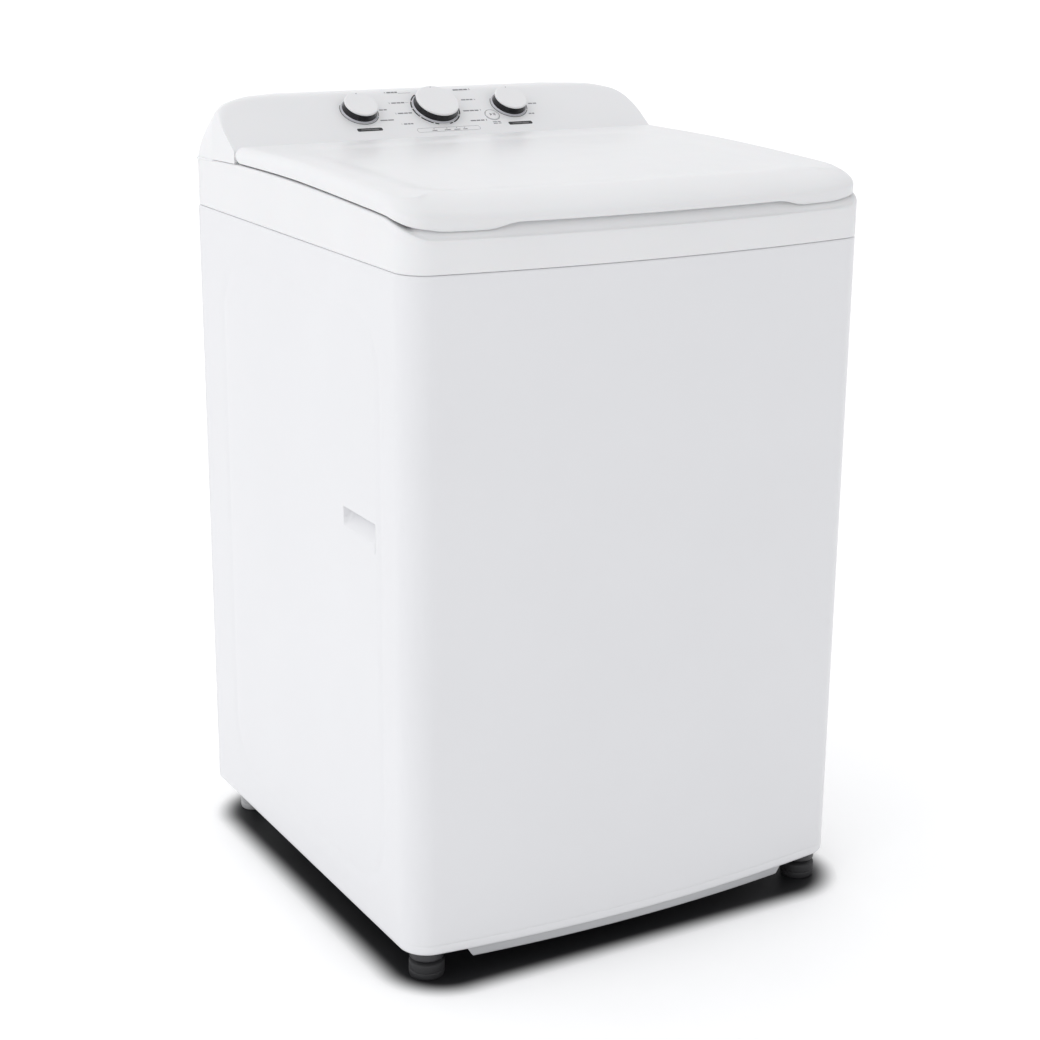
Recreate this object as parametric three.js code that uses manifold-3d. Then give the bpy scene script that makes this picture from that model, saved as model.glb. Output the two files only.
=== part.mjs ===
// Top load washing machine, in millimetres, +Z up.
// The origin is on the floor under the middle of the cabinet, and the front faces -Y.

import * as THREE from 'three';
import { mergeVertices } from 'three/addons/utils/BufferGeometryUtils.js';
import Module from 'manifold-3d';

const wasm = await Module();
wasm.setup();

// ---------------------------------------------------------------- driving dimensions

const WIDTH = 686;
const DEPTH = 694;
const LEG = 42; // floor to the lower edge of the cabinet
const CABINET = 900; // height of the cabinet sheet
const CONSOLE_RISE = 156; // top of the console above the cabinet
const FRONT_BOW = 26.4; // bulge of the front between its corners
const CORNER = 41; // plan radius of the front corners
const SHEET = 1.6; // cabinet steel
const WALL = 3; // moulded plastic
const GAP = 0.3; // clearance between touching pieces
const FACE_TILT = 34; // degrees from level
const LID_TRAVEL = 11; // hinge axis to the lid's top and rear
const TUB_RADIUS = 285;
const TUB_BOTTOM = 228;
const TUB_HEIGHT = 640;
const BASKET_RADIUS = 258;
const BASKET_BOTTOM = 262;
const BASKET_HEIGHT = 588;
const ROD_X = 268;
const ROD_Y = 262;
const ROD_TOP = 914;
const SPRING_LENGTH = 86;
const MOTOR_Y = 168; // motor shaft behind the basket shaft
const DRIVE_PULLEY_RADIUS = 75;
const MOTOR_PULLEY_RADIUS = 22;
const MOUTH_X = 215; // half width of the loading mouth
const MOUTH_Y = 190; // half depth of the loading mouth

const SIDE_X = WIDTH / 2;
const BACK_Y = DEPTH / 2;
const SEAM_Z = LEG + CABINET;
const TOP_Z = SEAM_Z + CONSOLE_RISE;
const HINGE = { y: 192, z: SEAM_Z + 87 };
const FACE_FOOT = { y: 206, z: SEAM_Z + 92 };
const INLETS = { hot: -146, cold: -94, y: 317, z: SEAM_Z + 100, radius: 13 };
const VALVE_X = (INLETS.hot + INLETS.cold) / 2;
const STRIKE = { x0: 272, x1: 276, y0: -184, y1: -168 };
const BOLT = { x: 269, y: -176, z: SEAM_Z + 42, radius: 2.5 };
const SPOUT = { x: 25, front: 146, back: 312, low: SEAM_Z + 16, high: SEAM_Z + 45 };
const NOZZLE = { y: 296, radius: 9 };

// ---------------------------------------------------------------- solids

const vec = (x, y) => new THREE.Vector2(x, y);

function solid(geometry) {
  const bare = geometry.index ? geometry.toNonIndexed() : geometry;
  bare.deleteAttribute('normal');
  bare.deleteAttribute('uv');
  const merged = mergeVertices(bare, 1e-4);
  const vertProperties = new Float32Array(merged.attributes.position.array);
  const triVerts = new Uint32Array(merged.index.array);
  return new wasm.Manifold(new wasm.Mesh({ numProp: 3, vertProperties, triVerts }));
}

function geometryOf(body) {
  const { vertProperties, triVerts } = body.getMesh();
  const geometry = new THREE.BufferGeometry();
  geometry.setAttribute('position', new THREE.BufferAttribute(vertProperties, 3));
  geometry.setIndex(new THREE.BufferAttribute(triVerts, 1));
  geometry.computeVertexNormals();
  return geometry;
}

function join(...bodies) {
  return bodies.reduce((whole, body) => whole.add(body));
}

function cut(body, ...tools) {
  return tools.reduce((rest, tool) => rest.subtract(tool), body);
}

// Upright prism of a plan outline.
function prism(outline, z0, z1) {
  const geometry = new THREE.ExtrudeGeometry(new THREE.Shape(outline), {
    depth: z1 - z0,
    bevelEnabled: false,
  });
  return solid(geometry.translate(0, 0, z0));
}

const TO_X = new THREE.Matrix4().set(0, 0, 1, 0, 1, 0, 0, 0, 0, 1, 0, 0, 0, 0, 0, 1);
const TO_Y = new THREE.Matrix4().set(1, 0, 0, 0, 0, 0, -1, 0, 0, 1, 0, 0, 0, 0, 0, 1);

// Prism along X of a side outline whose points are (y, z).
function prismX(outline, x0, x1) {
  const geometry = new THREE.ExtrudeGeometry(new THREE.Shape(outline), {
    depth: x1 - x0,
    bevelEnabled: false,
  });
  return solid(geometry.translate(0, 0, x0).applyMatrix4(TO_X));
}

// Prism along Y of a front outline whose points are (x, z).
function prismY(outline, y0, y1) {
  const geometry = new THREE.ExtrudeGeometry(new THREE.Shape(outline), {
    depth: y1 - y0,
    bevelEnabled: false,
  });
  return solid(geometry.translate(0, 0, -y1).applyMatrix4(TO_Y));
}

function block(x0, x1, y0, y1, z0, z1) {
  const geometry = new THREE.BoxGeometry(x1 - x0, y1 - y0, z1 - z0);
  return solid(geometry.translate((x0 + x1) / 2, (y0 + y1) / 2, (z0 + z1) / 2));
}

// Upright turned body. The profile's points are (radius, z), anticlockwise.
function turned(profile, segments = 32) {
  const points = profile.map(([radius, z]) => vec(radius, z));
  if (profile[0][0] > 0) points.push(points[0].clone());
  return solid(new THREE.LatheGeometry(points, segments).rotateX(Math.PI / 2));
}

function rod(radius, z0, z1, segments = 16) {
  return turned([[0, z0], [radius, z0], [radius, z1], [0, z1]], segments);
}

function pipe(inner, outer, z0, z1, segments = 32) {
  return turned([[inner, z0], [outer, z0], [outer, z1], [inner, z1]], segments);
}

// Round section swept along a smooth curve through the points.
function swept(points, radius, steps, sides = 10) {
  const section = arc(0, 0, radius, 0, 2 * Math.PI, sides).slice(0, -1);
  const path = new THREE.CatmullRomCurve3(points.map((p) => new THREE.Vector3(...p)));
  return solid(new THREE.ExtrudeGeometry(new THREE.Shape(section), {
    steps,
    extrudePath: path,
    bevelEnabled: false,
  }));
}

// Skin over matching closed sections of [x, y, z] points, closed by its end sections.
// Each section is flattened to two axes and runs anticlockwise there.
function loft(sections, across = 0, up = 2) {
  const count = sections[0].length;
  const flat = sections[0].map((point) => vec(point[across], point[up]));
  const caps = THREE.ShapeUtils.triangulateShape(flat, []);
  const last = (sections.length - 1) * count;
  const index = [];
  for (const [a, b, c] of caps) {
    index.push(a, b, c, last + c, last + b, last + a);
  }
  for (let row = 0; row < last; row += count) {
    for (let i = 0; i < count; i++) {
      const next = (i + 1) % count;
      index.push(row + i, row + count + i, row + next);
      index.push(row + next, row + count + i, row + count + next);
    }
  }
  const geometry = new THREE.BufferGeometry();
  geometry.setAttribute('position', new THREE.Float32BufferAttribute(sections.flat(2), 3));
  geometry.setIndex(index);
  return solid(geometry);
}

// ---------------------------------------------------------------- outlines

function arc(cx, cy, radius, from, to, steps) {
  const points = [];
  for (let i = 0; i <= steps; i++) {
    const angle = from + ((to - from) * i) / steps;
    points.push(vec(cx + radius * Math.cos(angle), cy + radius * Math.sin(angle)));
  }
  return points;
}

function roundedRect(x0, x1, y0, y1, radius, steps = 3) {
  const quarter = Math.PI / 2;
  return [
    ...arc(x0 + radius, y0 + radius, radius, -2 * quarter, -quarter, steps),
    ...arc(x1 - radius, y0 + radius, radius, -quarter, 0, steps),
    ...arc(x1 - radius, y1 - radius, radius, 0, quarter, steps),
    ...arc(x0 + radius, y1 - radius, radius, quarter, 2 * quarter, steps),
  ];
}

function ellipse(rx, ry, steps) {
  return arc(0, 0, 1, 0, 2 * Math.PI, steps).slice(0, -1).map((p) => vec(p.x * rx, p.y * ry));
}

const BOW_RADIUS = (SIDE_X ** 2 + FRONT_BOW ** 2) / (2 * FRONT_BOW);
const BOW_Y = BOW_RADIUS - BACK_Y;
const CORNER_X = SIDE_X - CORNER;
const CORNER_Y = BOW_Y - Math.sqrt((BOW_RADIUS - CORNER) ** 2 - CORNER_X ** 2);
const BOW_HALF_ANGLE = Math.asin(CORNER_X / (BOW_RADIUS - CORNER));

// The bowed front with its two round corners, moved inwards by inset, from left to right.
function frontPoints(inset) {
  const down = 1.5 * Math.PI;
  const left = down - BOW_HALF_ANGLE;
  const right = down + BOW_HALF_ANGLE;
  return [
    ...arc(-CORNER_X, CORNER_Y, CORNER - inset, Math.PI, left, 4),
    ...arc(0, BOW_Y, BOW_RADIUS - inset, left, right, 10).slice(1, -1),
    ...arc(CORNER_X, CORNER_Y, CORNER - inset, right, 2 * Math.PI, 4),
  ];
}

// The whole cabinet outline in plan, moved inwards by inset.
function planPoints(inset, backY) {
  const x = SIDE_X - inset;
  return [...frontPoints(inset), vec(x, backY), vec(-x, backY)];
}

// A band that follows the left side, the front and the right side.
function wrapBand(outer, inner, backY) {
  const x0 = SIDE_X - outer;
  const x1 = SIDE_X - inner;
  return [
    vec(-x0, backY),
    ...frontPoints(outer),
    vec(x0, backY),
    vec(x1, backY),
    ...frontPoints(inner).reverse(),
    vec(-x1, backY),
  ];
}

// ---------------------------------------------------------------- assembly

const machine = new THREE.Group();

function piece(name, body, color, roughness, metalness = 0, parent = machine) {
  const material = new THREE.MeshStandardMaterial({ color, roughness, metalness });
  const mesh = new THREE.Mesh(geometryOf(body), material);
  mesh.name = name;
  parent.add(mesh);
  return mesh;
}

const WHITE = 0xf1f1f3;
const PAINT = 0xeeeef1;
const STEEL = 0xb4b7ba;
const ZINC = 0xc6c9cc;
const BLACK = 0x1b1b1d;
const GREY = 0x8d9094;

// ---------------------------------------------------------------- cabinet

const WRAP_BACK = BACK_Y - SHEET - GAP;
const GRIP = { front: -227, back: -134, low: LEG + 531, high: LEG + 570, depth: 28 };

// Pressed side grip: a pocket that is deepest under its upper edge.
function gripWedge(side, swell) {
  const face = SIDE_X + (swell ? -SHEET / 2 : 5);
  const outline = [
    vec(side * face, GRIP.low - swell),
    vec(side * face, GRIP.high + swell),
    vec(side * (SIDE_X - GRIP.depth - swell), GRIP.high + swell),
    vec(side * (SIDE_X - GRIP.depth - swell), GRIP.high - 10),
  ];
  return prismY(side > 0 ? outline.reverse() : outline, GRIP.front - swell, GRIP.back + swell);
}

function cabinetWrap() {
  const flangeX = SIDE_X - 20;
  const walls = prism(wrapBand(0, SHEET, WRAP_BACK), LEG, SEAM_Z);
  const topFlange = prism(wrapBand(SHEET / 2, 14, WRAP_BACK), SEAM_Z - SHEET, SEAM_Z);
  const lowFlange = prism(wrapBand(SHEET / 2, 25, WRAP_BACK), LEG, LEG + SHEET);
  const edges = [-1, 1].map((side) => {
    const x0 = Math.min(side * flangeX, side * (SIDE_X - SHEET / 2));
    const x1 = Math.max(side * flangeX, side * (SIDE_X - SHEET / 2));
    return block(x0, x1, WRAP_BACK - SHEET, WRAP_BACK, LEG, SEAM_Z);
  });
  const body = join(walls, topFlange, lowFlange, ...edges);
  return [-1, 1].reduce(
    (whole, side) => cut(whole.add(gripWedge(side, SHEET)), gripWedge(side, 0)),
    body,
  );
}

const DRAIN = { x: -205, z: 150, radius: 19 };
const CORD = { x: 255, z: 870 };

function rearPanel() {
  const x = SIDE_X - 2;
  const sheet = block(-x, x, BACK_Y - SHEET, BACK_Y, LEG, SEAM_Z - 2);
  const holes = [
    rod(DRAIN.radius + 4, -10, 10).rotate([90, 0, 0]).translate([DRAIN.x, BACK_Y, DRAIN.z]),
    rod(9, -10, 10).rotate([90, 0, 0]).translate([CORD.x, BACK_Y, CORD.z]),
  ];
  return cut(sheet, ...holes);
}

const FEET = [
  { name: 'foot_front_left', x: -306, y: -292 },
  { name: 'foot_front_right', x: 306, y: -292 },
  { name: 'foot_rear_left', x: -304, y: 306 },
  { name: 'foot_rear_right', x: 304, y: 306 },
];
const FOOT_STUD = 6;
const FRAME_FLOOR = LEG + SHEET + GAP;
const FRAME_BACK = WRAP_BACK - SHEET - GAP;

// Floor frame: a steel angle all the way round, with a threaded boss at each foot.
function baseFrame() {
  const outer = SHEET + GAP;
  const upright = cut(
    prism(planPoints(outer, FRAME_BACK), FRAME_FLOOR, LEG + 34),
    prism(planPoints(outer + 2.5, FRAME_BACK - 2.5), LEG, LEG + 40),
  );
  const shelf = cut(
    prism(planPoints(outer, FRAME_BACK), FRAME_FLOOR, FRAME_FLOOR + 2.5),
    prism(roundedRect(-290, 290, -282, 290, 60), LEG, LEG + 20),
  );
  const bosses = FEET.map(({ x, y }) => rod(17, FRAME_FLOOR, LEG + 22).translate([x, y, 0]));
  const bores = FEET.map(({ x, y }) => rod(FOOT_STUD + 0.2, LEG, LEG + 30).translate([x, y, 0]));
  return cut(join(upright, shelf, ...bosses), ...bores);
}

// Curved toe rail hanging under the front, set back from the front panel.
function frontBaseRail() {
  const reach = block(-262, 262, -BACK_Y, -BACK_Y + 90, 0, LEG);
  const face = prism(wrapBand(16, 18.5, 0), LEG - 19, LEG - GAP);
  const flange = prism(wrapBand(16, 30, 0), LEG - GAP - 2.5, LEG - GAP);
  const lip = prism(wrapBand(16, 24, 0), LEG - 21, LEG - 18.5);
  return join(face, flange, lip).intersect(reach);
}

function foot(front) {
  const pad = front ? 24 : 19;
  const neck = front ? 15 : 13;
  return turned([
    [0, 0], [pad - 1, 0], [pad, 3], [pad, 22], [neck, 26], [neck, 36], [FOOT_STUD, 36],
    [FOOT_STUD, LEG + 40], [0, LEG + 40],
  ], 14);
}

piece('base_frame', baseFrame(), STEEL, 0.45, 0.8);
piece('cabinet_wrap', cabinetWrap(), PAINT, 0.35, 0.1);
piece('rear_panel', rearPanel(), ZINC, 0.45, 0.7);
piece('front_base_rail', frontBaseRail(), 0xc9cacd, 0.45);
for (const { name, x, y } of FEET) {
  const front = y < 0;
  piece(name, foot(front), front ? BLACK : 0xb9bbbe, 0.7).position.set(x, y, 0);
}

// ---------------------------------------------------------------- top cover

// Height above the cabinet of the cover's upper edge, from front to rear.
const COVER_EDGE = [
  [-BACK_Y, 43], [-341, 49], [-320, 55.5], [-300, 60], [-275, 63.6], [-209, 66.1], [-110, 70.2],
  [0, 73.5], [204, 73.5], [BACK_Y, 68],
];
const DECK_Z = SEAM_Z + 52;
const NECK_BOTTOM = 905;
const RING_HOLE = 7; // the cover's hole is this much wider than the mouth all round
const EAR_X = 304;

function coverSide(drop) {
  const top = COVER_EDGE.map(([y, z]) => vec(y, SEAM_Z + z - drop));
  return prismX([vec(BACK_Y, SEAM_Z - 60), vec(-BACK_Y, SEAM_Z - 60), ...top].reverse(), -400, 400);
}

// Upright oval column round the loading mouth, wider than the mouth by grow.
function mouthOval(grow, z0, z1) {
  return prism(ellipse(MOUTH_X + grow, MOUTH_Y + grow, 32), z0, z1);
}

function topCover() {
  const outer = prism(planPoints(0, BACK_Y), SEAM_Z + GAP, SEAM_Z + 80).intersect(coverSide(0));
  const inner = prism(planPoints(WALL, BACK_Y - WALL), SEAM_Z - 1, SEAM_Z + 80)
    .intersect(coverSide(WALL + 0.5));
  const well = roundedRect(-316, 316, -292, 204.6, 24);
  const wellWall = roundedRect(-319, 319, -295, 207.6, 27);
  const tray = prism(wellWall, DECK_Z - WALL, SEAM_Z + 80).intersect(outer);
  const ears = [-EAR_X, EAR_X].map((x) => {
    const stem = [vec(HINGE.y - 5, DECK_Z - 1), vec(HINGE.y + 5, DECK_Z - 1)];
    const outline = [...stem, ...arc(HINGE.y, HINGE.z, 5, 0, Math.PI, 8)];
    const bore = rod(3 + GAP, -10, 10, 16).rotate([0, 90, 0]).translate([x, HINGE.y, HINGE.z]);
    return cut(prismX(outline, x - 4, x + 4), bore);
  });
  const wellSpace = prism(well, DECK_Z, SEAM_Z + 90);
  const mouth = mouthOval(RING_HOLE, DECK_Z - 10, DECK_Z + 10);
  const nozzleHole = rod(NOZZLE.radius + 1, SEAM_Z + 50, SEAM_Z + 90)
    .translate([VALVE_X, NOZZLE.y, 0]);
  const strikeSlot = block(STRIKE.x0 - 3, STRIKE.x1 + 3, STRIKE.y0 - 5, STRIKE.y1 + 5, 940, 1000);
  const shell = join(cut(outer, inner), tray);
  return cut(shell, wellSpace, mouth, nozzleHole, strikeSlot).add(join(...ears));
}

// Splash ring in the cover's hole: a flange on the deck and a neck down to the basket.
function mouthRing() {
  const z = DECK_Z + GAP;
  const { x, low, high } = SPOUT;
  const spoutWindow = block(VALVE_X - x - 1, VALVE_X + x + 1, 120, 190, low - 1, high + 1);
  const ring = join(mouthOval(RING_HOLE + 6, z, z + WALL), mouthOval(WALL, NECK_BOTTOM, z + 1));
  return cut(ring, mouthOval(0, NECK_BOTTOM - 5, z + 10), spoutWindow);
}

piece('top_cover', topCover(), WHITE, 0.4);
piece('mouth_ring', mouthRing(), WHITE, 0.4);

// ---------------------------------------------------------------- lid

// Height above the cabinet of the lid's crown and lower rim, front to rear.
const LID_CROWN = [
  [-338, 60], [-335, 66], [-326, 73], [-312, 79], [-290, 84], [-250, 88.5], [-150, 93.5],
  [-50, 97], [0, 98], [HINGE.y, 98],
];
const LID_RIM = [
  [-338, 58], [-318, 58.3], [-300, 62.2], [-275, 65.8], [-209, 68.3], [-110, 72.4], [0, 76],
  [HINGE.y, 76],
];

// Side view of the lid, or of the hollow under its skin, which stays open below.
function lidSide(drop) {
  const rear = arc(HINGE.y, HINGE.z, LID_TRAVEL - drop, Math.PI / 2, -Math.PI / 2, 8).slice(1, -1);
  const crown = LID_CROWN.map(([y, z]) => vec(y < -300 ? y + drop : y, SEAM_Z + z - drop));
  const rim = LID_RIM.map(([y, z]) => vec(y, SEAM_Z + z)).reverse();
  const open = [vec(HINGE.y, SEAM_Z + 30), vec(crown[0].x, SEAM_Z + 30)];
  return prismX([...crown, ...rear, ...(drop ? open : rim)].reverse(), -400, 400);
}

// Front view of the lid's crown: round shoulders at both sides.
function lidFront(drop) {
  const x = SIDE_X - 0.5 - drop;
  const shoulder = 14;
  const top = SEAM_Z + 98.5 - drop;
  const outline = [
    vec(-x, SEAM_Z), vec(x, SEAM_Z),
    ...arc(x - shoulder, top - shoulder, shoulder, 0, Math.PI / 2, 4),
    ...arc(-x + shoulder, top - shoulder, shoulder, Math.PI / 2, Math.PI, 4),
  ];
  return prismY(outline, -400, 400);
}

function lidBody(drop) {
  const inset = 8 + drop;
  const plan = prism(planPoints(inset, 300), SEAM_Z + 20, TOP_Z);
  const spread = plan.scale([(SIDE_X - drop) / (SIDE_X - inset), 1, 1]);
  return spread.intersect(lidSide(drop)).intersect(lidFront(drop));
}

const PAN = { x: 290, front: -258, back: 178, low: SEAM_Z + 60, high: SEAM_Z + 77 };

function lidOuter() {
  const fingerCut = block(-175, 175, -350, -300, SEAM_Z + 40, SEAM_Z + 61.5);
  const notches = [-EAR_X, EAR_X].map((x) => {
    return block(x - 8, x + 8, HINGE.y - 14, HINGE.y + 20, SEAM_Z + 70, HINGE.z + 7);
  });
  return cut(lidBody(0), lidBody(WALL), fingerCut, ...notches);
}

function lidInner() {
  const { x, front, back, low, high } = PAN;
  const pan = cut(
    prism(roundedRect(-x, x, front, back, 30), low, high + 2.5),
    prism(roundedRect(-x + 2.5, x - 2.5, front + 2.5, back - 2.5, 27.5), low + 2.5, high + 5),
  );
  const flange = cut(
    prism(roundedRect(-335, 335, -266, 180, 20), high, high + 2.5),
    prism(roundedRect(-x + 1, x - 1, front + 1, back - 1, 29), high - 5, high + 5),
  );
  const barrels = [-1, 1].map((side) => {
    const middle = side * (EAR_X - 11.5);
    const hub = rod(7, -6.5, 6.5, 24).rotate([0, 90, 0]).translate([middle, HINGE.y, HINGE.z]);
    const arm = block(middle - 6.5, middle + 6.5, 174, HINGE.y, high + 0.5, high + 7);
    const bore = rod(3 + GAP, -9, 9, 16).rotate([0, 90, 0]).translate([middle, HINGE.y, HINGE.z]);
    return cut(hub.add(arm), bore);
  });
  return join(pan, flange, ...barrels);
}

// Steel catch under the lid, with the hole that the lock's bolt enters.
function lidStrike() {
  const { x0, x1, y0, y1 } = STRIKE;
  const top = PAN.low - GAP;
  const plate = block(x0, x1, y0, y1, BOLT.z - 7, top);
  const base = block(x0 - 18, x1, y0, y1, top - 2, top);
  const hole = block(x0 - 1, x1 + 1, BOLT.y - 4, BOLT.y + 4, BOLT.z - 4, BOLT.z + 4);
  return cut(plate.add(base), hole);
}

function hingePin() {
  return rod(3, -18, 9, 16).add(rod(4.6, 9.5 - GAP, 12, 16)).add(rod(3, 8, 10, 16));
}

piece('lid_outer', lidOuter(), WHITE, 0.35);
piece('lid_inner', lidInner(), WHITE, 0.5);
piece('lid_strike', lidStrike(), ZINC, 0.35, 0.9);
for (const [name, side] of [['lid_hinge_pin_left', -1], ['lid_hinge_pin_right', 1]]) {
  const pin = piece(name, hingePin(), ZINC, 0.35, 0.9);
  pin.rotation.y = (side * Math.PI) / 2;
  pin.position.set(side * (EAR_X - 4), HINGE.y, HINGE.z);
}

// ---------------------------------------------------------------- console

// Half outlines (x, height above the cabinet) of the console, at its front and its back.
const CONSOLE_FRONT = [[343, 60], [343, 123], [338, 136], [325, 147], [293, 157], [239, 160]];
const CONSOLE_BACK = [[343, 60], [335, 91], [319, 117], [304, 139], [272, 149], [217, 153.5]];
const CONSOLE_STRAIGHT = 285; // the ends begin to draw in behind here
const FACE_LENGTH = 112;
const TILT = THREE.MathUtils.degToRad(FACE_TILT);
const CONSOLE_BASE = 205;

function consoleEnds(drop) {
  const section = (outline, y) => {
    const right = outline.map(([x, z]) => [x - drop, y, SEAM_Z + z - drop]);
    const left = right.map(([x, , z]) => [-x, y, z]).reverse();
    return [...right, ...left];
  };
  return loft([
    section(CONSOLE_FRONT, CONSOLE_BASE - 10),
    section(CONSOLE_FRONT, CONSOLE_STRAIGHT),
    section(CONSOLE_BACK, BACK_Y + 5),
  ]);
}

function consoleSide(drop) {
  const top = TOP_Z - drop;
  const front = CONSOLE_BASE + drop;
  const back = BACK_Y - drop;
  const faceTop = FACE_LENGTH - drop;
  const lift = -drop * Math.cos(TILT);
  const base = drop ? SEAM_Z + 40 : SEAM_Z + 73.5 + GAP;
  const rise = drop ? 0 : -5.5;
  return prismX([
    vec(front, base),
    vec(back, base + rise),
    vec(back, top - 9),
    vec(back - 3, top - 3),
    vec(back - 9, top),
    vec(FACE_FOOT.y + faceTop * Math.cos(TILT) + 6, top),
    vec(FACE_FOOT.y + faceTop * Math.cos(TILT), FACE_FOOT.z + faceTop * Math.sin(TILT) + lift),
    vec(front, FACE_FOOT.z + lift - 0.7),
  ], -400, 400);
}

function consoleBody(drop) {
  return consoleEnds(drop).intersect(consoleSide(drop));
}

// The control face: local X runs right, local Y up the slope and local Z out of it.
const face = new THREE.Group();
face.position.set(0, FACE_FOOT.y, FACE_FOOT.z);
face.rotation.x = TILT;
machine.add(face);

function fromFace(body) {
  return body.rotate([FACE_TILT, 0, 0]).translate([0, FACE_FOOT.y, FACE_FOOT.z]);
}

const KNOBS = [
  { name: 'water_level_knob', x: -124, y: 69, radius: 25.3 },
  { name: 'cycle_knob', x: 0, y: 69, radius: 33 },
  { name: 'temperature_knob', x: 124, y: 69, radius: 25.3 },
];
const BUTTON = { x: 86, y: 47, radius: 10.4 };
const KNOB_SHAFT = 3;
const REAR_HATCH = { x: 270, low: SEAM_Z + 74, high: SEAM_Z + 138 };

function consoleHousing() {
  const hatch = block(-REAR_HATCH.x, REAR_HATCH.x, 335, 360, SEAM_Z + 60, REAR_HATCH.high);
  const shaftHoles = KNOBS.map(({ x, y }) => rod(KNOB_SHAFT + 2, -8, 8, 16).translate([x, y, 0]));
  const buttonHole = rod(BUTTON.radius + GAP, -8, 8).translate([BUTTON.x, BUTTON.y, 0]);
  const holes = [...shaftHoles, buttonHole].map(fromFace);
  return cut(consoleBody(0), consoleBody(WALL), hatch, ...holes);
}

// Back of the console, with a recess that holds both water inlets inside the cabinet's depth.
function consoleRearCover() {
  const x = REAR_HATCH.x - GAP;
  const sheet = block(-x, x, BACK_Y - 2, BACK_Y, REAR_HATCH.low, REAR_HATCH.high - GAP);
  const x0 = INLETS.hot - 26;
  const x1 = INLETS.cold + 26;
  const z0 = INLETS.z - 22;
  const z1 = INLETS.z + 22;
  const tray = block(x0 - 1.6, x1 + 1.6, INLETS.y, BACK_Y - 1, z0 - 1.6, z1 + 1.6);
  const recess = block(x0, x1, INLETS.y + 1.6, BACK_Y + 5, z0, z1);
  const holes = [INLETS.hot, INLETS.cold].map((at) => {
    return rod(INLETS.radius + 0.6, -10, 10).rotate([90, 0, 0]).translate([at, INLETS.y, INLETS.z]);
  });
  return cut(sheet.add(tray), recess, ...holes);
}

function inletValve() {
  const { hot, cold, y, z, radius } = INLETS;
  const body = block(hot - 16, cold + 16, y - 34, y - GAP, z - 20, z + 14);
  const spigots = [hot, cold].map((x) => {
    return pipe(radius - 3, radius, -1, 28, 20).rotate([-90, 0, 0]).translate([x, y, z]);
  });
  const nozzle = rod(NOZZLE.radius, SEAM_Z + 42, z - 19, 16).translate([VALVE_X, NOZZLE.y, 0]);
  return join(body, ...spigots, nozzle);
}

// Water duct under the cover, from the valve's nozzle through the mouth's wall.
function waterSpout() {
  const { x, front, back, low, high } = SPOUT;
  const duct = cut(
    block(VALVE_X - x, VALVE_X + x, front, back, low, high),
    block(VALVE_X - x + 2.5, VALVE_X + x - 2.5, front - 5, back - 2.5, low + 2.5, high - 2.5),
  );
  const hole = rod(NOZZLE.radius + GAP, high - 10, high + 10, 16);
  return duct.subtract(hole.translate([VALVE_X, NOZZLE.y, 0]));
}

const BOARD_Z = -22;

function controlBoard() {
  const board = block(-165, 165, 32, 98, BOARD_Z, BOARD_Z + 2);
  const switches = KNOBS.map(({ x, y }) => {
    const body = block(x - 13, x + 13, y - 13, y + 13, BOARD_Z + 1, -5);
    return body.add(rod(KNOB_SHAFT, -6, 9, 16).translate([x, y, 0]));
  });
  const { x, y } = BUTTON;
  return join(board, ...switches, block(x - 5, x + 5, y - 5, y + 5, BOARD_Z + 1, -13));
}

function knob(radius) {
  const bore = KNOB_SHAFT + GAP;
  return turned([
    [0, 11], [bore, 11], [bore, 0.8], [radius, 0.8], [radius, 13], [radius - 2, 15], [0, 15],
  ], 24);
}

function startButton() {
  const { radius } = BUTTON;
  return turned([[0, -10.5], [4, -10.5], [4, -6], [12.5, -6], [12.5, -4], [radius, -4], [radius, 1],
    [0, 1.4]], 16);
}

function pressureSensor() {
  return rod(20, 0, 18).add(pipe(2, 4, 17, 30, 12)).translate([235, 300, SEAM_Z + 80]);
}

piece('console_housing', consoleHousing(), WHITE, 0.38);
piece('console_rear_cover', consoleRearCover(), ZINC, 0.45, 0.7);
piece('inlet_valve', inletValve(), 0xe6e6e2, 0.5);
piece('water_spout', waterSpout(), 0xdcdde0, 0.5);
piece('pressure_sensor', pressureSensor(), 0x2c2c30, 0.5);
piece('control_board', controlBoard(), 0x2f6b45, 0.6, 0, face);
for (const { name, x, y, radius } of KNOBS) {
  piece(name, knob(radius), WHITE, 0.3, 0, face).position.set(x, y, 0);
}
piece('start_button', startButton(), WHITE, 0.35, 0, face).position.set(BUTTON.x, BUTTON.y, 0);

// ---------------------------------------------------------------- lid lock

function lidLock() {
  const body = block(BOLT.x - 33, BOLT.x - 2, BOLT.y - 16, BOLT.y + 16, SEAM_Z + 28, SEAM_Z + 48.5);
  const bore = rod(BOLT.radius + GAP, -30, 5, 16).rotate([0, 90, 0]);
  return body.subtract(bore.translate([BOLT.x, BOLT.y, BOLT.z]));
}

piece('lid_lock', lidLock(), 0x2c2c30, 0.55);
const bolt = piece('lid_lock_bolt', rod(BOLT.radius, -29, 0, 16), ZINC, 0.35, 0.9);
bolt.rotation.y = Math.PI / 2;
bolt.position.set(BOLT.x, BOLT.y, BOLT.z);

// ---------------------------------------------------------------- tub

const ROD_REACH = Math.hypot(ROD_X, ROD_Y);
const LUG_Z = 420;
const TUB_TOP = TUB_BOTTOM + TUB_HEIGHT;
const SUMP = { x: -160, y: -40, radius: 15 };
const SHAFT = 9;
const SPIN_TUBE = 16.5;
const BEARING = 28.3;
const PUMP_OUTLET = { y: 60, z: 140 };

const CORNERS = [
  { name: 'front_left', x: -1, y: -1 },
  { name: 'front_right', x: 1, y: -1 },
  { name: 'rear_left', x: -1, y: 1 },
  { name: 'rear_right', x: 1, y: 1 },
];

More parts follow.
